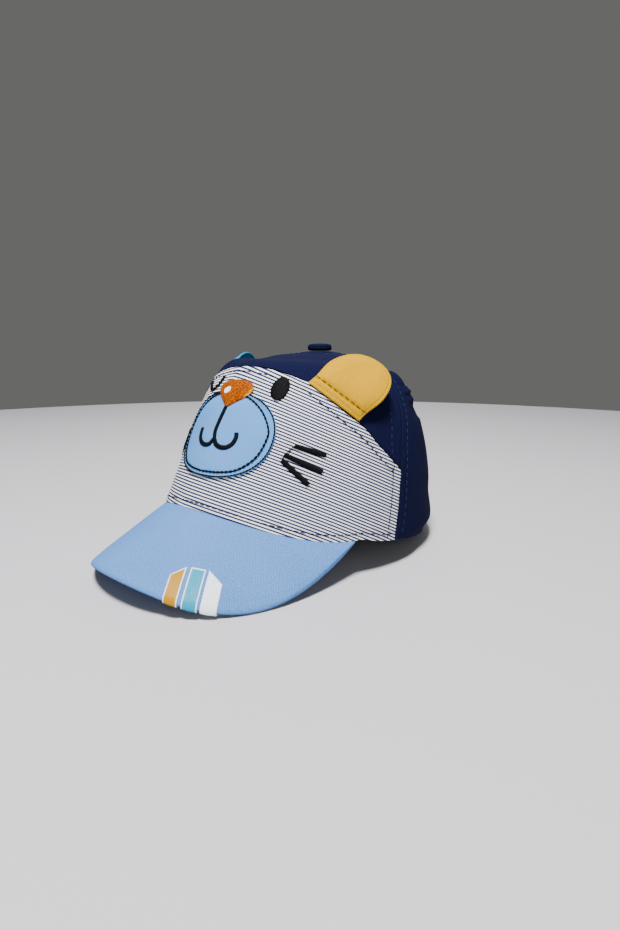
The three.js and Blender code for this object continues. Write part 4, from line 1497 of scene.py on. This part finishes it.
def make_light(name, place, target, size, power, colour):
    start_piece()
    bpy.ops.object.light_add(type="AREA", location=place)
    light = named(name)
    light.data.shape = "DISK"
    light.data.size = size
    light.data.energy = power
    light.data.color = colour
    light.rotation_euler = (Vector(target) - Vector(place)).to_track_quat("-Z", "Y").to_euler()


def make_lights():
    """A soft key from above in front, and weaker wide lights from the camera's side and behind."""
    make_light("key_light", (0.18, -0.32, 1.15), (0, 0, 0.04), 0.3, 40, (1, 0.99, 0.97))
    make_light("fill_light", (1.0, -0.7, 0.5), (0, 0, 0.05), 0.9, 4, (0.96, 0.98, 1))
    make_light("back_light", (-0.7, 0.9, 0.7), (0, 0, 0.05), 0.9, 4, (1, 1, 1))


def make_floor():
    start_piece()
    bpy.ops.mesh.primitive_circle_add(
        vertices=160, radius=0.9, fill_type="NGON", location=(0, 0, -0.0004)
    )
    floor = named("stage_floor")
    material, nodes = new_material("Pale Floor", 0.6, 0.2)
    shade = nodes.noise(nodes.add("TexCoord").outputs["Object"], 3.0)
    base = nodes.tint(shade, colours().floor, 0.97, 1.03)
    nodes.join(base, nodes.shader.inputs["Base Color"])
    floor.data.materials.append(material)


def make_world():
    world = bpy.data.worlds.new("Soft Studio")
    world.use_nodes = True
    back = world.node_tree.nodes["Background"]
    back.inputs["Color"].default_value = (0.7, 0.71, 0.68, 1)
    back.inputs["Strength"].default_value = 0.2
    bpy.context.scene.world = world


# Operators


class CAP_OT_stage(bpy.types.Operator):
    """Sets the camera, the floor and the soft lights."""

    bl_idname = "cap.stage"
    bl_label = "Stage"
    bl_options = {"REGISTER", "UNDO"}

    def execute(self, context):
        make_camera()
        make_floor()
        make_world()
        make_lights()
        return {"FINISHED"}


class CAP_OT_front_panel(bpy.types.Operator):
    """Models the striped front of the crown."""

    bl_idname = "cap.front_panel"
    bl_label = "Front Panel"
    bl_options = {"REGISTER", "UNDO"}

    def execute(self, context):
        make_front_panel()
        return {"FINISHED"}


class CAP_OT_yoke(bpy.types.Operator):
    """Models the navy top of the crown."""

    bl_idname = "cap.yoke"
    bl_label = "Navy Top"
    bl_options = {"REGISTER", "UNDO"}

    def execute(self, context):
        make_yoke()
        return {"FINISHED"}


class CAP_OT_back_panels(bpy.types.Operator):
    """Models the two navy back panels with their soft rolls."""

    bl_idname = "cap.back_panels"
    bl_label = "Back Panels"
    bl_options = {"REGISTER", "UNDO"}

    def execute(self, context):
        for side, label in SIDES:
            make_back_panel(side, label)
        return {"FINISHED"}


class CAP_OT_brim(bpy.types.Operator):
    """Models the arched brim with its rounded lip."""

    bl_idname = "cap.brim"
    bl_label = "Brim"
    bl_options = {"REGISTER", "UNDO"}

    def execute(self, context):
        make_brim()
        return {"FINISHED"}


class CAP_OT_button(bpy.types.Operator):
    """Models the cloth-covered button."""

    bl_idname = "cap.button"
    bl_label = "Button"
    bl_options = {"REGISTER", "UNDO"}

    def execute(self, context):
        make_button()
        return {"FINISHED"}


class CAP_OT_ears(bpy.types.Operator):
    """Models the two padded ears."""

    bl_idname = "cap.ears"
    bl_label = "Ears"
    bl_options = {"REGISTER", "UNDO"}

    def execute(self, context):
        make_ears()
        return {"FINISHED"}


class CAP_OT_muzzle(bpy.types.Operator):
    """Models the muzzle and its stitched outline."""

    bl_idname = "cap.muzzle"
    bl_label = "Muzzle"
    bl_options = {"REGISTER", "UNDO"}

    def execute(self, context):
        make_muzzle()
        make_muzzle_stitches()
        return {"FINISHED"}


class CAP_OT_eyes(bpy.types.Operator):
    """Models the open eye and the winking eye in satin stitch."""

    bl_idname = "cap.eyes"
    bl_label = "Eyes"
    bl_options = {"REGISTER", "UNDO"}

    def execute(self, context):
        make_eyes()
        return {"FINISHED"}


class CAP_OT_nose(bpy.types.Operator):
    """Models the nose in level satin stitches."""

    bl_idname = "cap.nose"
    bl_label = "Nose"
    bl_options = {"REGISTER", "UNDO"}

    def execute(self, context):
        make_nose()
        return {"FINISHED"}


class CAP_OT_mouth(bpy.types.Operator):
    """Models the lip line and the line below the nose."""

    bl_idname = "cap.mouth"
    bl_label = "Mouth"
    bl_options = {"REGISTER", "UNDO"}

    def execute(self, context):
        make_mouth()
        return {"FINISHED"}


class CAP_OT_whiskers(bpy.types.Operator):
    """Models the six whiskers."""

    bl_idname = "cap.whiskers"
    bl_label = "Whiskers"
    bl_options = {"REGISTER", "UNDO"}

    def execute(self, context):
        make_whiskers()
        make_jump_threads()
        return {"FINISHED"}


class CAP_OT_tabs(bpy.types.Operator):
    """Models the ribbon tabs folded over the brim."""

    bl_idname = "cap.tabs"
    bl_label = "Tabs"
    bl_options = {"REGISTER", "UNDO"}

    def execute(self, context):
        make_tabs()
        return {"FINISHED"}


class CAP_OT_front_sewing(bpy.types.Operator):
    """Sews the stitches of the striped front."""

    bl_idname = "cap.front_sewing"
    bl_label = "Front Sewing"
    bl_options = {"REGISTER", "UNDO"}

    def execute(self, context):
        make_front_stitches()
        return {"FINISHED"}


class CAP_OT_navy_sewing(bpy.types.Operator):
    """Sews the stitches beside the side seams."""

    bl_idname = "cap.navy_sewing"
    bl_label = "Navy Sewing"
    bl_options = {"REGISTER", "UNDO"}

    def execute(self, context):
        make_navy_stitches()
        return {"FINISHED"}


class CAP_OT_ear_sewing(bpy.types.Operator):
    """Sews the stitches across the feet of the ears."""

    bl_idname = "cap.ear_sewing"
    bl_label = "Ear Sewing"
    bl_options = {"REGISTER", "UNDO"}

    def execute(self, context):
        make_ear_stitches()
        return {"FINISHED"}


OPERATORS = (
    CAP_OT_stage,
    CAP_OT_front_panel,
    CAP_OT_yoke,
    CAP_OT_back_panels,
    CAP_OT_brim,
    CAP_OT_button,
    CAP_OT_ears,
    CAP_OT_muzzle,
    CAP_OT_eyes,
    CAP_OT_nose,
    CAP_OT_mouth,
    CAP_OT_whiskers,
    CAP_OT_tabs,
    CAP_OT_front_sewing,
    CAP_OT_navy_sewing,
    CAP_OT_ear_sewing,
)


class CAP_PT_pieces(bpy.types.Panel):
    """Lists the cap's pieces, sizes and colours."""

    bl_idname = "CAP_PT_pieces"
    bl_label = "Animal Ear Cap"
    bl_space_type = "VIEW_3D"
    bl_region_type = "UI"
    bl_category = "Cap"

    def draw(self, context):
        for entry in OPERATORS:
            self.layout.operator(entry.bl_idname)
        for group in (context.scene.cap_sizes, context.scene.cap_colours):
            for key in group.bl_rna.properties.keys():
                if key not in ("rna_type", "name"):
                    self.layout.prop(group, key)


CLASSES = (CapSizes, CapColours, *OPERATORS, CAP_PT_pieces)


def register():
    for entry in CLASSES:
        bpy.utils.register_class(entry)
    bpy.types.Scene.cap_sizes = PointerProperty(type=CapSizes)
    bpy.types.Scene.cap_colours = PointerProperty(type=CapColours)


def unregister():
    del bpy.types.Scene.cap_colours
    del bpy.types.Scene.cap_sizes
    for entry in reversed(CLASSES):
        bpy.utils.unregister_class(entry)


def main():
    register()
    for entry in OPERATORS:
        getattr(bpy.ops.cap, entry.bl_idname.split(".")[1])()


if __name__ == "__main__":
    main()
